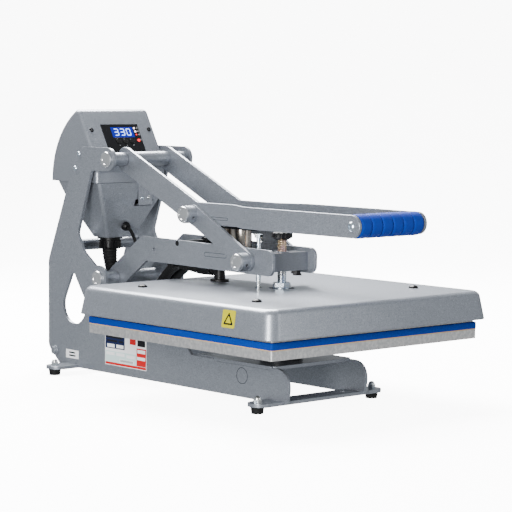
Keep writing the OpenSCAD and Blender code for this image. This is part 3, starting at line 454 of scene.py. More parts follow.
def rect_ring(half_x, half_y, radius, z, centre, steps=8):
    """Points of a rounded rectangle at height z, anticlockwise."""
    points = []
    for corner in range(4):
        sx = 1 if corner in (0, 3) else -1
        sy = 1 if corner in (0, 1) else -1
        for k in range(steps + 1):
            angle = math.pi / 2 * (corner + k / steps)
            points.append(Vector((
                centre[0] + sx * (half_x - radius) + radius * math.cos(angle),
                centre[1] + sy * (half_y - radius) + radius * math.sin(angle),
                z
            )))
    return points


def prism(bm, outline, place, thick):
    """A flat outline of (x, y) points, drawn in the plane of the matrix and given a thickness."""
    low = ring(bm, [place @ Vector((x, y, 0)) for x, y in outline])
    high = ring(bm, [place @ Vector((x, y, thick)) for x, y in outline])
    bm.faces.new(list(reversed(low)))
    bm.faces.new(high)
    bridge(bm, low, high)


def disc_outline(radius, sides=20):
    return [(radius * math.cos(math.tau * k / sides), radius * math.sin(math.tau * k / sides))
            for k in range(sides)]


def radial_ring(centre, z, radii):
    """Points round a centre at height z, one for each radius in the list."""
    turns = [math.tau * k / len(radii) for k in range(len(radii))]
    return [Vector((centre.x + r * math.cos(a), centre.y + r * math.sin(a), z)) for r, a in zip(radii, turns)]


def scaled(pairs):
    """Pairs in millimetres as pairs in metres."""
    return [(a * MM, b * MM) for a, b in pairs]


def box_outline(x0, y0, x1, y1):
    return [(x0, y0), (x1, y0), (x1, y1), (x0, y1)]


def path_frames(points):
    """Tangent, side and upright of a path that doesn't twist."""
    frames = []
    side = None
    for i, point in enumerate(points):
        ahead = points[min(i + 1, len(points) - 1)] - points[max(i - 1, 0)]
        tangent = ahead.normalized()
        if side is None:
            side = tangent.cross(Vector((1, 0, 0.01))).normalized()
        side = (side - tangent * side.dot(tangent)).normalized()
        frames.append((point, side, tangent.cross(side)))
    return frames


def sweep(bm, points, radius_at, sides=20):
    """A closed tube along a path; radius_at(i) is its radius at point i."""
    rings = []
    for i, (point, side, upright) in enumerate(path_frames(points)):
        rings.append([point + side * x + upright * y for x, y in disc_outline(radius_at(i), sides)])
    loft(bm, rings)


def catmull(points, steps):
    """A smooth path through given points."""
    path = []
    for i in range(len(points) - 1):
        a, b = points[max(i - 1, 0)], points[i]
        c, d = points[i + 1], points[min(i + 2, len(points) - 1)]
        for s in range(steps):
            t = s / steps
            path.append(0.5 * (2 * b + (c - a) * t + (2 * a - 5 * b + 4 * c - d) * t * t
                               + (3 * b - a - 3 * c + d) * t ** 3))
    return path + [points[-1]]


def cut(piece, bm):
    """Subtracts a closed bmesh from a piece, for good."""
    tool_mesh = bpy.data.meshes.new("tool")
    bmesh.ops.recalc_face_normals(bm, faces=bm.faces)
    bm.to_mesh(tool_mesh)
    bm.free()
    tool = bpy.data.objects.new("tool", tool_mesh)
    bpy.context.scene.collection.objects.link(tool)
    boolean = piece.modifiers.new("holes", "BOOLEAN")
    boolean.object = tool
    boolean.solver = "EXACT"
    evaluated = piece.evaluated_get(bpy.context.evaluated_depsgraph_get())
    result = bpy.data.meshes.new_from_object(evaluated)
    piece.modifiers.clear()
    old = piece.data
    piece.data = result
    result.name = piece.name
    bpy.data.meshes.remove(old)
    bpy.data.objects.remove(tool)
    bpy.data.meshes.remove(tool_mesh)
    piece.data.polygons.foreach_set("use_smooth", [True] * len(piece.data.polygons))
    piece.data.set_sharp_from_angle(angle=SHARP)


# ---- Cords ----

HOSE_ROUTE = [
    mm(-8, 264, 194), mm(-8, 264, 176), mm(-8, 259, 152), mm(-9, 246, 132), mm(-11, 222, 116),
    mm(-13, 192, 110), mm(-14, 162, 120), mm(-14, 138, 140), mm(-14, 112, 164), mm(-14, 96, 173),
    mm(-14, 84, 176)
]
BOOT_ROUTE = [mm(-14, 92, 174.6), mm(-14, 84, 176), mm(-10.5, 69, 174), mm(-6.5, 57, 172.1), mm(-6, 50, 172),
              mm(-6, 44, 172)]
CABLE_ROUTE = [
    mm(0, 240.4, 223.5), mm(0, 231.6, 219.6), mm(-0.5, 222.5, 215), mm(-3.5, 211, 206.5), mm(-10, 196, 195),
    mm(-22, 168, 188), mm(-30, 140, 187), mm(-32, 112, 190), mm(-32, 84, 194), mm(-31, 62, 200),
    mm(-26, 46, 204), mm(-18, 36, 204), mm(-14, 30, 204), mm(-14, 24.3, 204)
]
HOSE_D = 0.015
CABLE_D = 0.005


def ribbed_tube(name, path, material, radius, body=None):
    """A tube whose radius is a function of the distance along it."""
    along = [0.0]
    for a, b in zip(path, path[1:]):
        along.append(along[-1] + (b - a).length)
    bm = bmesh.new()
    sweep(bm, path, lambda i: radius(along[i], along[-1]))
    return finish_mesh(name, bm, material, body)


def wave(distance, pitch, depth):
    """Depth of a rounded groove at this distance."""
    return depth * (0.5 + 0.5 * math.cos(math.tau * distance / pitch))


def leads():
    path = catmull(HOSE_ROUTE, 24)
    hose = ribbed_tube("heater_lead", path, HOSE, lambda d, _: HOSE_D / 2 - wave(d, 4.5 * MM, 0.4 * MM))
    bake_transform(hose)
    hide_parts("heater_hose")
    boot = ribbed_tube("elbow_boot", catmull(BOOT_ROUTE, 16), RUBBER,
                       lambda d, whole: (7.7 + 1.4 * d / whole) * MM - wave(d, 5 * MM, 0.7 * MM))
    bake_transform(boot)
    path = catmull(CABLE_ROUTE, 24)
    cable = ribbed_tube("magnet_lead", path, RUBBER, lambda d, _: CABLE_D / 2 - wave(d, 2 * MM, 0.06 * MM))
    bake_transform(cable)
    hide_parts("magnet_cable")


leads()


# ---- CAD nodes that keep their shape ----

PAINTED = [
    "side_plate_left", "side_plate_right", "foot_strips", "platform_plate", "pivot_spacers", "cross_tubes",
    "lower_housing", "rear_panel", "sensor_bracket", "handle_plate_left", "handle_plate_right",
    "handle_cross_members", "toggle_link_left", "toggle_link_right", "lower_arm_left", "lower_arm_right",
    "arm_hub_tube", "bridge_plate"
]
PLAIN = {
    # The crossbar's darker paint is painted shade.
    "crossbar": PAINT_PAINTED_SHADE,
    "grip_tube": STEEL, "foot_studs": ZINC, "housing_screws": ZINC, "head_hub": ZINC,
    "hanger_bolts": ZINC, "electromagnets": NICKEL, "lower_platen": ALUMINIUM, "heater_plate": ALUMINIUM,
    "power_inlet": PLASTIC, "button_up": PLASTIC, "button_mode": PLASTIC, "button_down": PLASTIC,
    "power_rocker": PLASTIC, "hose_clip": PLASTIC, "cable_elbow": PLASTIC, "display": WINDOW,
    "control_panel": PANEL_FACE, "circuit_board": BOARD, "platen_pedestal": BLACK_STEEL,
    "armature_plate": BLACK_STEEL, "magnet_base": BLACK_STEEL, "arm_bolts": BLACK_STEEL,
    "gas_cylinder": BLACK_STEEL, "gas_rod": ZINC, "heating_element": ELEMENT, "insulation": WOOL,
    "cable_glands": PLASTIC, "rubber_feet": RUBBER, "grip_bolts": ZINC, "pressure_knob": PLASTIC
}
# Painted parts get the paler edge paint on their rounded edges: partly edge wear, partly painted highlight.
for node in PAINTED:
    dress(node, PAINT, 0.6, PAINT_EDGE_WEAR_AND_HIGHLIGHT)
for node, material in PLAIN.items():
    dress(node, material, 0.3)


# ---- Heater head ----

COVER_SLOPE = 4.5 / 30
COVER_LEAN = math.atan(COVER_SLOPE)


def head_cover():
    """The pressed cover: a leaning skirt, a rounded top edge and a flat top with its holes."""
    low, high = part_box("head_cover")
    centre = (low + high) / 2
    half_x, half_y = (high.x - low.x) / 2, (high.y - low.y) / 2
    edge, wall, corner = 9 * MM, 2 * MM, 18 * MM
    hem, turned_in = 0.6 * MM, 0.5 * MM

    def level(inset, z, radius):
        return rect_ring(half_x - inset, half_y - inset, radius, z, centre)

    def wall_inset(z):
        return COVER_SLOPE * (z - low.z)

    rings = [level(wall, low.z, corner - wall), level(turned_in, low.z, corner)]
    rings.append(level(wall_inset(low.z + hem), low.z + hem, corner))
    start = high.z - edge + edge * math.sin(COVER_LEAN)
    arc_centre = wall_inset(start) + edge * math.cos(COVER_LEAN)
    mid_wall = start - 8 * MM
    rings.append(level(wall_inset(mid_wall), mid_wall, corner))
    steps = 8
    for k in range(steps + 1):
        angle = COVER_LEAN + (math.pi / 2 - COVER_LEAN) * k / steps
        inset = arc_centre - edge * math.cos(angle)
        radius = corner - 0.6 * (inset - wall_inset(start))
        rings.append(level(inset, high.z - edge + edge * math.sin(angle), radius))
    bm = bmesh.new()
    made = loft(bm, rings, cap_start=False)
    under = [ring(bm, level(arc_centre, high.z - wall, corner - 4 * MM)),
             ring(bm, level(wall_inset(start) + wall, high.z - edge, corner - 2 * MM))]
    bm.faces.new(list(reversed(under[0])))
    bridge(bm, under[1], under[0])
    bridge(bm, made[0], under[1])
    cover = finish_mesh("cover_shell", bm, PAINT, "heater_head", ["head_cover"])
    spindle_hole, hanger_hole, elbow_hole = 18.5 * MM, 5.2 * MM, 6.2 * MM
    drill_start, drill_length = high.z - 8 * MM, 12 * MM
    places = [(middle("pressure_screw"), spindle_hole), (mm(-6, 9, 0), elbow_hole)]
    places += [(mm(side * 22, -92, 0), hanger_hole) for side in (-1, 1)]
    holes = bmesh.new()
    for at, radius in places:
        rod(holes, Matrix.Translation((at.x, at.y, drill_start)), radius, drill_length, 40)
    cut(cover, holes)


def button_screws():
    """Round-headed socket screws on the cover."""
    bm = bmesh.new()
    low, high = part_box("cover_screws")
    radius, shank, rim, rise = 6.75 * MM, 2.6 * MM, 0.7 * MM, 3.3 * MM
    depth = 6 * MM
    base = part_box("head_cover")[1].z
    for x in (low.x + radius, high.x - radius):
        for y in (low.y + radius, high.y - radius):
            place = Matrix.Translation((x, y, base))
            profile = [(0, -depth), (shank, -depth), (shank, 0), (radius, 0), (radius, rim)]
            profile += [(radius * math.cos(a), rim + rise * math.sin(a))
                        for a in (0.25, 0.5, 0.75, 1.0, 1.15)]
            profile += [(2.3 * MM, 3.9 * MM), (2.2 * MM, 1.9 * MM), (0, 1.7 * MM)]
            lathe(bm, profile, place, 36)
    finish_mesh("cover_button_screws", bm, BLACK_STEEL, "heater_head", ["cover_screws"])


def silicone_pad():
    """The sponge pad and the tan adhesive layer under it."""
    low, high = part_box("silicone_pad")
    centre = (low + high) / 2
    half_x, half_y = (high.x - low.x) / 2, (high.y - low.y) / 2
    seam = low.z + 1.1 * MM

    def level(inset, z):
        return rect_ring(half_x - inset * MM, half_y - inset * MM, 3 * MM, z, centre, 4)

    bm = bmesh.new()
    loft(bm, [
        level(0.5, seam), level(0, seam + 0.5 * MM), level(0, high.z - 0.9 * MM),
        level(0.35, high.z - 0.3 * MM), level(1.2, high.z)
    ])
    pad = finish_mesh("sponge_pad", bm, SPONGE, "frame", ["silicone_pad"])
    bm = bmesh.new()
    loft(bm, [level(0.3, low.z), level(0.3, seam)])
    finish_mesh("pad_backing", bm, TAN, "frame")


head_cover()
button_screws()
silicone_pad()


# ---- Handle grip ----

def foam_grip():
    """A foam sleeve in six swells with a groove between each two."""
    low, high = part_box("foam_grip")
    centre = (low + high) / 2
    length = high.x - low.x
    radius = (high.z - low.z) / 2
    segments = 6
    pitch = length / segments
    bore, end_groove, groove = 11 * MM, 3.6 * MM, 2.4 * MM
    profile = [(bore, 0)]
    steps = 20
    for s in range(segments):
        for k in range(steps + 1):
            t = k / steps
            swell = 1 - abs(2 * t - 1) ** 8
            depth = end_groove if (s, k) in ((0, 0), (segments - 1, steps)) else groove
            profile.append((radius - depth * (1 - swell), pitch * (s + t)))
    profile.append((bore, length))
    bm = bmesh.new()
    lathe(bm, profile, aimed((low.x, centre.y, centre.z), (1, 0, 0)), 64)
    grip = finish_mesh("ribbed_grip", bm, FOAM, "handle", ["foam_grip"])


foam_grip()


# ---- Pins ----

SIDE_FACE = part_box("side_plate_right")[1].x
CAP_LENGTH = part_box("pivot_shafts")[1].x - SIDE_FACE
SHAFT_R = 6.35 * MM
CAP_R = 11.5 * MM


def turned_cap(bm, at, direction, radius, length):
    """A cap with a broad chamfer and a shallow dished face."""
    chamfer = 1.4 * MM
    lathe(bm, [
        (radius * 0.5, -0.2 * MM), (radius - 0.5 * MM, 0), (radius, 0.5 * MM), (radius, length - chamfer),
        (radius - 0.5 * chamfer, length - 0.3 * chamfer), (radius - 1.6 * chamfer, length),
        (radius * 0.62, length), (radius * 0.58, length - 0.5 * MM), (radius * 0.2, length - 0.6 * MM),
        (0, length - 0.6 * MM)
    ], aimed(at, direction), 48)


def pin_set(name, node, body, points, inner, shoulder, through):
    """Pins on both sides; inner is where a pin starts and shoulder where its cap sits, from the middle."""
    bm = bmesh.new()
    for y, z in points:
        for side in (-1, 1):
            turned_cap(bm, (side * shoulder, y, z), (side, 0, 0), CAP_R, CAP_LENGTH)
            if not through:
                rod(bm, aimed((side * inner, y, z), (side, 0, 0)), SHAFT_R, shoulder - inner)
        if through:
            rod(bm, aimed((-shoulder, y, z), (1, 0, 0)), SHAFT_R, 2 * shoulder)
    finish_mesh(name, bm, POLISHED, body, [node])


shaft_low, shaft_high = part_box("pivot_shafts")
pin_set("pivot_shafts_turned", "pivot_shafts", "frame",
        [(shaft_low.y + CAP_R, shaft_high.z - CAP_R), (shaft_high.y - CAP_R, shaft_low.z + CAP_R)],
        0, SIDE_FACE, True)
MID_START, FRONT_START = 34.1 * MM, 42.35 * MM
for piece_name, pin_node, pin_body, pin_start in (
    ("mid_pins_turned", "mid_pivot_pins", "handle", MID_START),
    ("front_pins_turned", "front_pivot_pins", "toggle", FRONT_START)
):
    axis = middle(pin_node)
    cap_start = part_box(pin_node)[1].x - CAP_LENGTH
    pin_set(piece_name, pin_node, pin_body, [(axis.y, axis.z)], pin_start, cap_start, False)


# ---- Pressure screw ----

def pressure_screw():
    """The spindle: gold above the crossbar, blue zinc below, with a thread and a flanged nut."""
    low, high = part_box("pressure_screw")
    at = middle("pressure_screw")
    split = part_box("crossbar")[1].z - 12 * MM
    for name, start, end, material in (
        ("spindle_upper", split, high.z, GOLD), ("spindle_lower", low.z, split, ZINC)
    ):
        bm = bmesh.new()
        pitch, depth, sides = 2.5 * MM, 0.5 * MM, 28
        turns = (end - start) / pitch
        rows = max(2, int(turns * 6))
        rings = []
        for i in range(rows + 1):
            z = start + (end - start) * i / rows
            phases = [(z / pitch + k / sides) % 1 for k in range(sides)]
            rings.append(radial_ring(at, z, [SHAFT_R - depth * abs(2 * phase - 1) for phase in phases]))
        loft(bm, rings)
        piece = finish_mesh(name, bm, material, "pressure_spindle")
        if name == "spindle_lower":
            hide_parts("pressure_screw")
    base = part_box("head_cover")[1].z
    bm = bmesh.new()
    washer = [(6.5, -2.2), (13.2, -2.2), (13.5, -1.8), (13.5, 1.2), (13.1, 1.6), (6.5, 1.6)]
    lathe(bm, scaled(washer + washer[:1]), Matrix.Translation((at.x, at.y, base)), 48)
    hex_r, hex_low, hex_height = 11 * MM / math.cos(math.pi / 6), 1.6 * MM, 6.3 * MM
    prism(bm, disc_outline(hex_r, 6), Matrix.Translation((at.x, at.y, base + hex_low)), hex_height)
    nut = finish_mesh("spindle_nut", bm, ZINC, "pressure_spindle")
    round_edges(nut, 0.5 * MM)


pressure_screw()


# ---- Control panel ----

CONSOLE_TILT = math.radians(29.6)
PANEL_UP = Vector((0, math.sin(CONSOLE_TILT), math.cos(CONSOLE_TILT)))
PANEL_OUT = Vector((0, -math.cos(CONSOLE_TILT), math.sin(CONSOLE_TILT)))
WINDOW_FACE = middle("display") + PANEL_OUT * (0.45 * MM)


def on_panel(x, z, proud=0.0):
    """Matrix on the console: x across and z up the slope in mm from the window's middle."""
    at = WINDOW_FACE + Vector((x * MM, 0, 0)) + PANEL_UP * (z * MM) + PANEL_OUT * (proud * MM)
    return aimed(at, PANEL_OUT, (1, 0, 0))


SEGMENTS = {
    "a": ((0, 1), (1, 1)), "b": ((1, 1), (1, 0.5)), "c": ((1, 0.5), (1, 0)), "d": ((0, 0), (1, 0)),
    "e": ((0, 0.5), (0, 0)), "f": ((0, 1), (0, 0.5)), "g": ((0, 0.5), (1, 0.5))
}
DIGITS = {"3": "abcdg", "0": "abcdef"}
DIGIT_WIDTH, DIGIT_HEIGHT, DIGIT_PITCH, FIRST_DIGIT = 6.8, 10.8, 11.6, -15.6
STROKE = 1.25
BUTTON_X, BUTTON_Z = (-13.5, -0.2, 12.5), -15.5
PRINT_THICK = 0.12 * MM


def seven_segment(bm, digit, x, z):
    """One lit digit; each segment is a bar with pointed ends."""
    for name in DIGITS[digit]:
        (x0, y0), (x1, y1) = SEGMENTS[name]
        a = Vector((x + x0 * DIGIT_WIDTH, z + y0 * DIGIT_HEIGHT))
        b = Vector((x + x1 * DIGIT_WIDTH, z + y1 * DIGIT_HEIGHT))
        along = (b - a).normalized()
        across = Vector((-along.y, along.x)) * STROKE / 2
        tip = along * STROKE / 2
        a, b = a + along * 0.25, b - along * 0.25
        outline = [a, a + tip - across, b - tip - across, b, b - tip + across, a + tip + across]
        prism(bm, scaled(outline), on_panel(0, 0, 0.05), 0.25 * MM)


def status_lights(name, material, places):
    """Round lights given as (x, z, radius) in mm on the console."""
    bm = bmesh.new()
    for x, z, radius in places:
        prism(bm, disc_outline(radius * MM), on_panel(x, z, 0.5), 0.3 * MM)
    finish_mesh(name, bm, material, "frame")


def panel_bar(bm, x, z, half_width, half_height):
    """A small printed bar on the console, in mm."""
    outline = box_outline(-half_width * MM, -half_height * MM, half_width * MM, half_height * MM)
    prism(bm, outline, on_panel(x, z, 0.5), PRINT_THICK)


def panel_details():
    """The lit digits, status lights, printed marks and the rings round the buttons."""
    bm = bmesh.new()
    for place, digit in enumerate("330"):
        seven_segment(bm, digit, FIRST_DIGIT + DIGIT_PITCH * place, -DIGIT_HEIGHT / 2)
    finish_mesh("display_digits", bm, DIGIT, "frame")
    status_lights("status_leds_white", LED_WHITE, [(23.4, 6.3, 1.5), (24.0, 0.6, 1.5)])
    status_lights("status_leds_red", LED_RED, [(24.2, -4.9, 1.3), (25.0, -14.6, 2.4)])
    bm = bmesh.new()
    for z in (6.5, 0.8, -4.8, -14.0):
        prism(bm, disc_outline(0.9 * MM), on_panel(28.6, z, 0.5), PRINT_THICK)
        panel_bar(bm, 30.2, z + 0.6, 0.4, 1.6)
    for x in BUTTON_X:
        panel_bar(bm, x, BUTTON_Z - 7, 1.2, 0.4)
    finish_mesh("panel_marks", bm, PRINT, "frame")
    bm = bmesh.new()
    profile = [(3.9, 0), (4.6, 0), (4.7, 0.25), (4.5, 0.45), (4.1, 0.45), (3.9, 0.2), (3.9, 0)]
    for x in BUTTON_X:
        lathe(bm, scaled(profile), on_panel(x, BUTTON_Z, 0.45), 32)
    finish_mesh("button_bezels", bm, PLASTIC, "frame")


panel_details()


# ---- Control box ----

def rounded_outline(corners, steps=6):
    """A polygon of (x, y, radius) corners with arcs put in."""
    points = []
    for i, (x, y, radius) in enumerate(corners):
        here = Vector((x, y))
        before = (Vector(corners[i - 1][:2]) - here).normalized()
        after = (Vector(corners[(i + 1) % len(corners)][:2]) - here).normalized()
        half = before.angle(after) / 2
        reach = radius / math.tan(half)
        middle_way = (before + after).normalized()
        centre = here + middle_way * (radius / math.sin(half))
        start, end = here + before * reach - centre, here + after * reach - centre
        spread = start.angle(end) if radius else 0
        for k in range(steps + 1):
            t = k / steps
            if radius:
                turned = (start * math.sin((1 - t) * spread) + end * math.sin(t * spread)) / math.sin(spread)
                points.append(centre + turned)
            else:
                points.append(here.copy())
    return points


def hood_section(inset, floor):
    """Side outline (y, z) of the hood in metres, pulled in square to itself."""
    low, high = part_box("hood_shell")
    nose, foot = 220 * MM, Vector((217.5, 312)) * MM
    nose_top, nose_round, console_round = foot.y - 8 * MM, 3 * MM, 9 * MM
    radius, back_z = 122.8 * MM, 290 * MM
    centre = Vector((high.y - radius, back_z))
    top_front = foot.x + math.tan(CONSOLE_TILT) * (high.z - foot.y)
    turn = math.asin((high.z - centre.y) / radius)
    top_rear = centre.x + radius * math.cos(turn)
    corner_steps, arc_steps = 6, 28
    # The last two corners only aim the one before them; the arc takes their place.
    front = rounded_outline([
        (nose, floor, 0.0), (nose, nose_top, nose_round), (foot.x, foot.y, console_round),
        (top_front, high.z, console_round), (top_rear, high.z, 0.0), (top_rear, floor, 0.0)
    ], corner_steps)[corner_steps:-2 * (corner_steps + 1)]
    arc = [centre + radius * Vector((math.cos(turn * k / arc_steps), math.sin(turn * k / arc_steps)))
           for k in range(arc_steps, -1, -1)]
    outline = front + arc + [Vector((high.y, floor))]
    moved = [outline[0] + Vector((inset, 0))]
    for before, point, after in zip(outline, outline[1:], outline[2:]):
        along = after - before
        moved.append(point + Vector((along.y, -along.x)).normalized() * inset)
    moved.append(outline[-1] - Vector((inset, 0)))
    return moved


def hood():
    """The hood of the control box, pressed with round edges, with its windows cut out."""
    low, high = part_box("hood_shell")
    edge, wall, edge_steps = 6.5 * MM, 2.2 * MM, 7

    def section_ring(x, inset, floor):
        return [Vector((x, p.x, p.y)) for p in hood_section(inset, floor)]

    turns = [math.pi / 2 * k / edge_steps for k in range(edge_steps + 1)]
    left = [section_ring(low.x + edge * (1 - math.cos(t)), edge * (1 - math.sin(t)), low.z) for t in turns]
    right = [section_ring(high.x - edge * (1 - math.cos(t)), edge * (1 - math.sin(t)), low.z)
             for t in reversed(turns)]
    bm = bmesh.new()
    loft(bm, left + right)
    piece = finish_mesh("hood", bm, PAINT, "frame", ["hood_shell"])
    below, side_inset = low.z - 5 * MM, wall + edge * 0.5
    inside = bmesh.new()
    loft(inside, [section_ring(low.x + wall, side_inset, below), section_ring(low.x + edge, wall, below),
                  section_ring(high.x - edge, wall, below), section_ring(high.x - wall, side_inset, below)])
    cut(piece, inside)
    windows = bmesh.new()
    half_w, half_h, depth = 35.4 * MM, 26.4 * MM, 20 * MM
    panel = aimed(middle("control_panel") - PANEL_OUT * (depth / 2), PANEL_OUT, (1, 0, 0))
    prism(windows, box_outline(-half_w, -half_h, half_w, half_h), panel, depth)
    half_w, half_h, depth = 46 * MM, 18 * MM, 22 * MM
    rear = aimed((0, high.y - depth, 312 * MM), (0, 1, 0), (1, 0, 0))
    prism(windows, box_outline(-half_w, -half_h, half_w, half_h), rear, depth + 8 * MM)
    cut(piece, windows)


def console_screws():
    """One round-headed screw on each side of the console's window."""
    reach, window_x, z = 54.5, 3.0, 4.0
    head = [(0, -4), (1.9, -4), (1.9, 0), (3.6, 0), (3.7, 0.6), (3.1, 1.5), (1.7, 1.7), (1.6, 0.4), (0, 0.3)]
    bm = bmesh.new()
    for side in (-1, 1):
        lathe(bm, scaled(head), on_panel(side * reach - window_x, z), 32)
    finish_mesh("console_screw_heads", bm, BLACK_STEEL, "frame")


def knob():
    """The round knob on top of the pressure screw, with finger flutes."""
    low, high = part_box("pressure_knob")
    centre = (low + high) / 2
    outer, lobes, sides = (high.x - low.x) / 2, 12, 96

    def fluted(radius, z, depth):
        return radial_ring(centre, z, [radius - wave(k * lobes / sides, 1, depth) for k in range(sides)])

    bm = bmesh.new()
    step = (high.z - low.z) / 11
    loft(bm, [
        fluted(outer - 7 * MM, low.z, 0), fluted(outer - 1.4 * MM, low.z + 3.2 * step, 0.6 * MM),
        fluted(outer, low.z + 4 * step, 1.1 * MM), fluted(outer, high.z - 1.2 * step, 1.1 * MM),
        fluted(outer - 0.5 * MM, high.z - 0.5 * step, 0.9 * MM), fluted(outer - 1.4 * MM, high.z, 0.5 * MM)
    ])
    finish_mesh("fluted_knob", bm, PLASTIC, "pressure_spindle", ["pressure_knob"])


def gland():
    """Ribbed clamping nut under the box, its tapered strain relief, and the cable's grommet."""
    low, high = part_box("cable_glands")
    axis, top = mm(-8, 264, 0), 204 * MM
    flange, foot = 2.2 * MM, low.z
    bm = bmesh.new()
    rim = (high.x - low.x) / 2
    hole = 8 * MM
    disc = [(hole, 0), (rim - 0.5 * MM, 0), (rim, 0.4 * MM), (rim, 1.8 * MM), (rim - 0.6 * MM, flange),
            (hole, flange), (hole, 0)]
    lathe(bm, [(radius, top - flange + height) for radius, height in disc], Matrix.Translation(axis), 48)
    ribs, sides, tooth_share = 18, 180, 0.55

    def ribbed(radius, z, depth):
        teeth = [(k * ribs / sides) % 1 < tooth_share for k in range(sides)]
        return radial_ring(axis, z, [radius if tooth else radius - depth for tooth in teeth])

    body = 17 * MM
    loft(bm, [ribbed(body - 3 * MM, foot, 0), ribbed(body - 1 * MM, foot + 0.8 * MM, 1.2 * MM),
              ribbed(body, foot + 2.4 * MM, 1.6 * MM), ribbed(body, top - flange - 3 * MM, 1.6 * MM),
              ribbed(body - 1.6 * MM, top - flange - 2.2 * MM, 0), ribbed(body - 1.6 * MM, top - flange, 0)])
    lean = math.radians(66)
    grommet = aimed(mm(0, 232.5, 220), (0, math.sin(lean), math.cos(lean)))
    profile = [(2.6, -3), (4.6, -3), (5.4, -2.4), (6.9, 1), (7, 4.5), (4.2, 5), (4.2, 9), (2.6, 9)]
    lathe(bm, scaled(profile + profile[:1]), grommet, 40)
    finish_mesh("gland_and_grommet", bm, PLASTIC, "frame", ["cable_glands"])
    path = catmull([mm(-8, 264, 190), mm(-8, 264, 176), mm(-8, 259, 152), mm(-9, 250.6, 138)], 20)
    relief = ribbed_tube("strain_relief", path, RUBBER,
                         lambda d, whole: (12.4 - 4.2 * d / whole) * MM - wave(d, 4.6 * MM, 0.9 * MM),
                         "frame")


hood()
console_screws()
knob()
gland()


# ---- Labels and marks ----

def stadium(length, width, sides=10):
    """Outline of a slot that lies along x."""
    radius = width / 2
    right = [(length / 2 - radius + radius * math.cos(a), radius * math.sin(a))
             for a in (math.pi * (k / sides - 0.5) for k in range(sides + 1))]
    return right + [(-x, -y) for x, y in right]


def band(bm, outer, inner, place, thick):
    """A thin raised band between two outlines with the same number of points."""
    rings = [
        ring(bm, [place @ Vector((x, y, z)) for x, y in points])
        for points, z in ((outer, 0), (outer, thick), (inner, thick), (inner, 0))
    ]
    for a, b in zip(rings, rings[1:] + rings[:1]):
        bridge(bm, a, b)


def outline_band(bm, outline, place, width, thick):
    """A thin raised band that follows a compact outline."""
    centre = Vector((sum(p[0] for p in outline), sum(p[1] for p in outline))) / len(outline)
    inner = []
    for x, y in outline:
        inward = (centre - Vector((x, y))).normalized() * width
        inner.append((x + inward.x, y + inward.y))
    band(bm, outline, inner, place, thick)


def etched(name, length, width, at, body):
    """A long etched outline on a plate that faces -X: a dark line with a painted highlight, a pale band,
    under it.
    """
    place = aimed(at, (-1, 0, 0), (0, 1, 0))
    bm = bmesh.new()
    line, painted_highlight_width = 0.8 * MM, 0.5 * MM
    band(bm, stadium(length, width), stadium(length - 2 * line, width - 2 * line), place, 0.12 * MM)
    finish_mesh(name, bm, GROOVE, body)
    # The pale band round the dark line is a painted highlight.
    bm = bmesh.new()
    band(bm, stadium(length + 2 * painted_highlight_width, width + 2 * painted_highlight_width), stadium(length, width), place, 0.1 * MM)
    finish_mesh(name + "_painted_highlight", bm, PAINT_EDGE_WEAR_AND_HIGHLIGHT, body)


def printed(name, material, place, boxes, level):
    """One piece of flat printed boxes, given as (x0, y0, x1, y1) in mm on a label."""
    raised = place @ Matrix.Translation((0, 0, level * MM))
    bm = bmesh.new()
    for x0, y0, x1, y1 in boxes:
        prism(bm, box_outline(x0 * MM, y0 * MM, x1 * MM, y1 * MM), raised, 0.05 * MM)
    finish_mesh(name, bm, material, "frame")


def rating_label(side_face):
    """A plain label: blank boxes, bars and colour fields instead of any lettering."""
    left, toward_front = (-1, 0, 0), (0, -1, 0)
    rating_y, rating_z, serial_y, serial_z = 139.5 * MM, 45.5 * MM, 270 * MM, 28.5 * MM
    plate = aimed((side_face, rating_y, rating_z), left, toward_front)
    layers = [
        ("rating_label", WHITE_LABEL, [(-49, -23, 49, 23)], -0.04),
        ("label_pale_field", PALE_INK, [(-48, -19, 48, -2)], 0.02),
        ("label_navy_field", NAVY_INK, [(-48, 2, -2, 22)], 0.02),
        ("label_red_field", RED_INK, [(-48, -22, 48, -18.5), (26, -18, 48, 8), (10, 12, 24, 21)], 0.03),
        ("label_boxes", WHITE_LABEL, [
            (-44, 3.5, -26, 8.5), (-22, 3.5, -5, 8.5), (4, 1.5, 22, 6.5), (28, 1, 46, 6),
            (-46, -8, -26, -3.5), (-22, -8, -2, -3.5), (2, -9, 22, -4.5), (27, -9, 46, -4.5),
            (-14, -17, 20, -12)
        ], 0.08),
        ("label_bars", INK, [(-46, 17.5, -8, 20), (-44, 12, -20, 14.5), (-16, 12, -6, 14.5), (28, 11, 46, 20)]
         + [(-12 + 1.6 * k, -16.2, -11.2 + 1.6 * k, -12.8) for k in range(19)], 0.13)
    ]
    for name, material, boxes, level in layers:
        printed(name, material, plate, boxes, level)
    small = aimed((side_face, serial_y, serial_z), left, toward_front)
    printed("serial_label", WHITE_LABEL, small, [(-16, -6.5, 16, 6.5)], 0.0)
    printed("serial_bars", INK, small, [(-8, 1.2, 7, 3.4), (-8, -3.4, 8, -1.2)], 0.04)


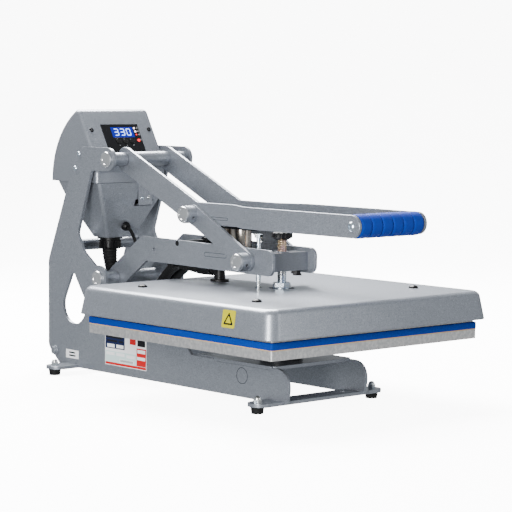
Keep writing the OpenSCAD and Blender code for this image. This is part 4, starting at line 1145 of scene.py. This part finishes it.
def yellow_sticker():
    """A plain yellow sticker with a bare triangle outline on the cover's left wall."""
    low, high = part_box("head_cover")
    out = Vector((-math.cos(COVER_LEAN), 0, math.sin(COVER_LEAN)))
    y, z = -236 * MM, 138 * MM
    square = aimed((low.x + (z - low.z) * COVER_SLOPE, y, z), out, (0, -1, 0))
    half_w, half_h, corner = 12.5, 11.5, 2.5
    square_corners = box_outline(-half_w, -half_h, half_w, half_h)
    rounded_square = rounded_outline([(across, up, corner) for across, up in square_corners])
    bm = bmesh.new()
    prism(bm, scaled(rounded_square), square @ Matrix.Translation((0, 0, -0.1 * MM)), 0.35 * MM)
    finish_mesh("yellow_sticker", bm, YELLOW_LABEL, "heater_head")
    bm = bmesh.new()
    triangle = rounded_outline([(-9.5, -7.5, 1.2), (9.5, -7.5, 1.2), (0, 8.8, 1.2)])
    raised = square @ Matrix.Translation((0, 0, 0.24 * MM))
    outline_band(bm, scaled(triangle), raised, 3.6 * MM, 0.12 * MM)
    finish_mesh("sticker_outline", bm, INK, "heater_head")


def marks():
    """Slot outlines on the arm and the handle, a ring on the side plate, and the labels."""
    side_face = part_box("side_plate_left")[0].x
    arm_face = -41.8 * MM
    arm_slot, handle_slot = Vector((arm_face, -0.0225, 0.1968)), Vector((arm_face, -0.031, 0.2486))
    knockout, knockout_radius = Vector((side_face, -0.1186, 0.04)), 11.5 * MM
    etched("arm_slot_mark", 49 * MM, 6.6 * MM, arm_slot, "lower_arm")
    etched("handle_slot_mark", 38 * MM, 4.6 * MM, handle_slot, "handle")
    bm = bmesh.new()
    outline_band(bm, disc_outline(knockout_radius, 40), aimed(knockout, (-1, 0, 0)), 0.9 * MM, 0.12 * MM)
    finish_mesh("knockout_mark", bm, GROOVE, "frame")
    rating_label(side_face)
    yellow_sticker()


marks()


# ---- Stage ----

def make_stage():
    """A pale floor that curves up behind the object."""
    bm = bmesh.new()
    away = Vector((-math.sin(CAMERA_TURN), math.cos(CAMERA_TURN), 0))
    across = Vector((math.cos(CAMERA_TURN), math.sin(CAMERA_TURN), 0))
    half_width, depth, bend, top, steps = 9, 2, 2, 7, 12
    turns = [math.pi / 2 * k / steps for k in range(1, steps + 1)]
    section = [(-half_width, 0), (depth, 0)]
    section += [(depth + bend * math.sin(a), bend - bend * math.cos(a)) for a in turns]
    section += [(depth + bend, top)]
    rings = [[bm.verts.new(across * w + away * d + Vector((0, 0, h))) for d, h in section]
             for w in (-half_width, half_width)]
    bridge(bm, rings[0], rings[1], closed=False)
    look = Look("studio_white", (0.93, 0.93, 0.94), 0.9)
    look.set("Emission Color", (1, 1, 1, 1))
    look.set("Emission Strength", 9.0)
    look.fleck(look.noise(2, 2.0), 0.3, 0.8, 0.2, (0.91, 0.91, 0.93))
    floor = finish_mesh("floor", bm, look.material, None)
    floor.visible_diffuse = False
    floor.visible_glossy = False


def area_light(name, at, target, size, power):
    """A white light panel of the given size in metres, aimed at a point."""
    light = bpy.data.lights.new(name, "AREA")
    light.shape = "RECTANGLE"
    light.size, light.size_y = size
    light.energy = power
    lamp = bpy.data.objects.new(name, light)
    bpy.context.scene.collection.objects.link(lamp)
    lamp.location = at
    lamp.rotation_mode = "QUATERNION"
    lamp.rotation_quaternion = (Vector(target) - Vector(at)).to_track_quat("-Z", "Y")


def make_lights():
    world = bpy.data.worlds.new("studio")
    bpy.context.scene.world = world
    world.use_nodes = True
    sky = world.node_tree.nodes["Background"]
    sky.inputs["Color"].default_value = (0.9, 0.95, 1, 1)
    sky.inputs["Strength"].default_value = 0.58
    object_middle, cover_side = (0, -0.05, 0.2), (0, -0.2, 0.1)
    area_light("overhead", (0.3, 1.0, 1.7), object_middle, (1.8, 1.2), 240)
    area_light("left_strip", (-2.0, -1.1, 0.4), cover_side, (0.6, 1.2), 92)
    area_light("front_strip", (0.9, -2.4, 0.7), object_middle, (0.9, 1.6), 12)


make_stage()
make_lights()
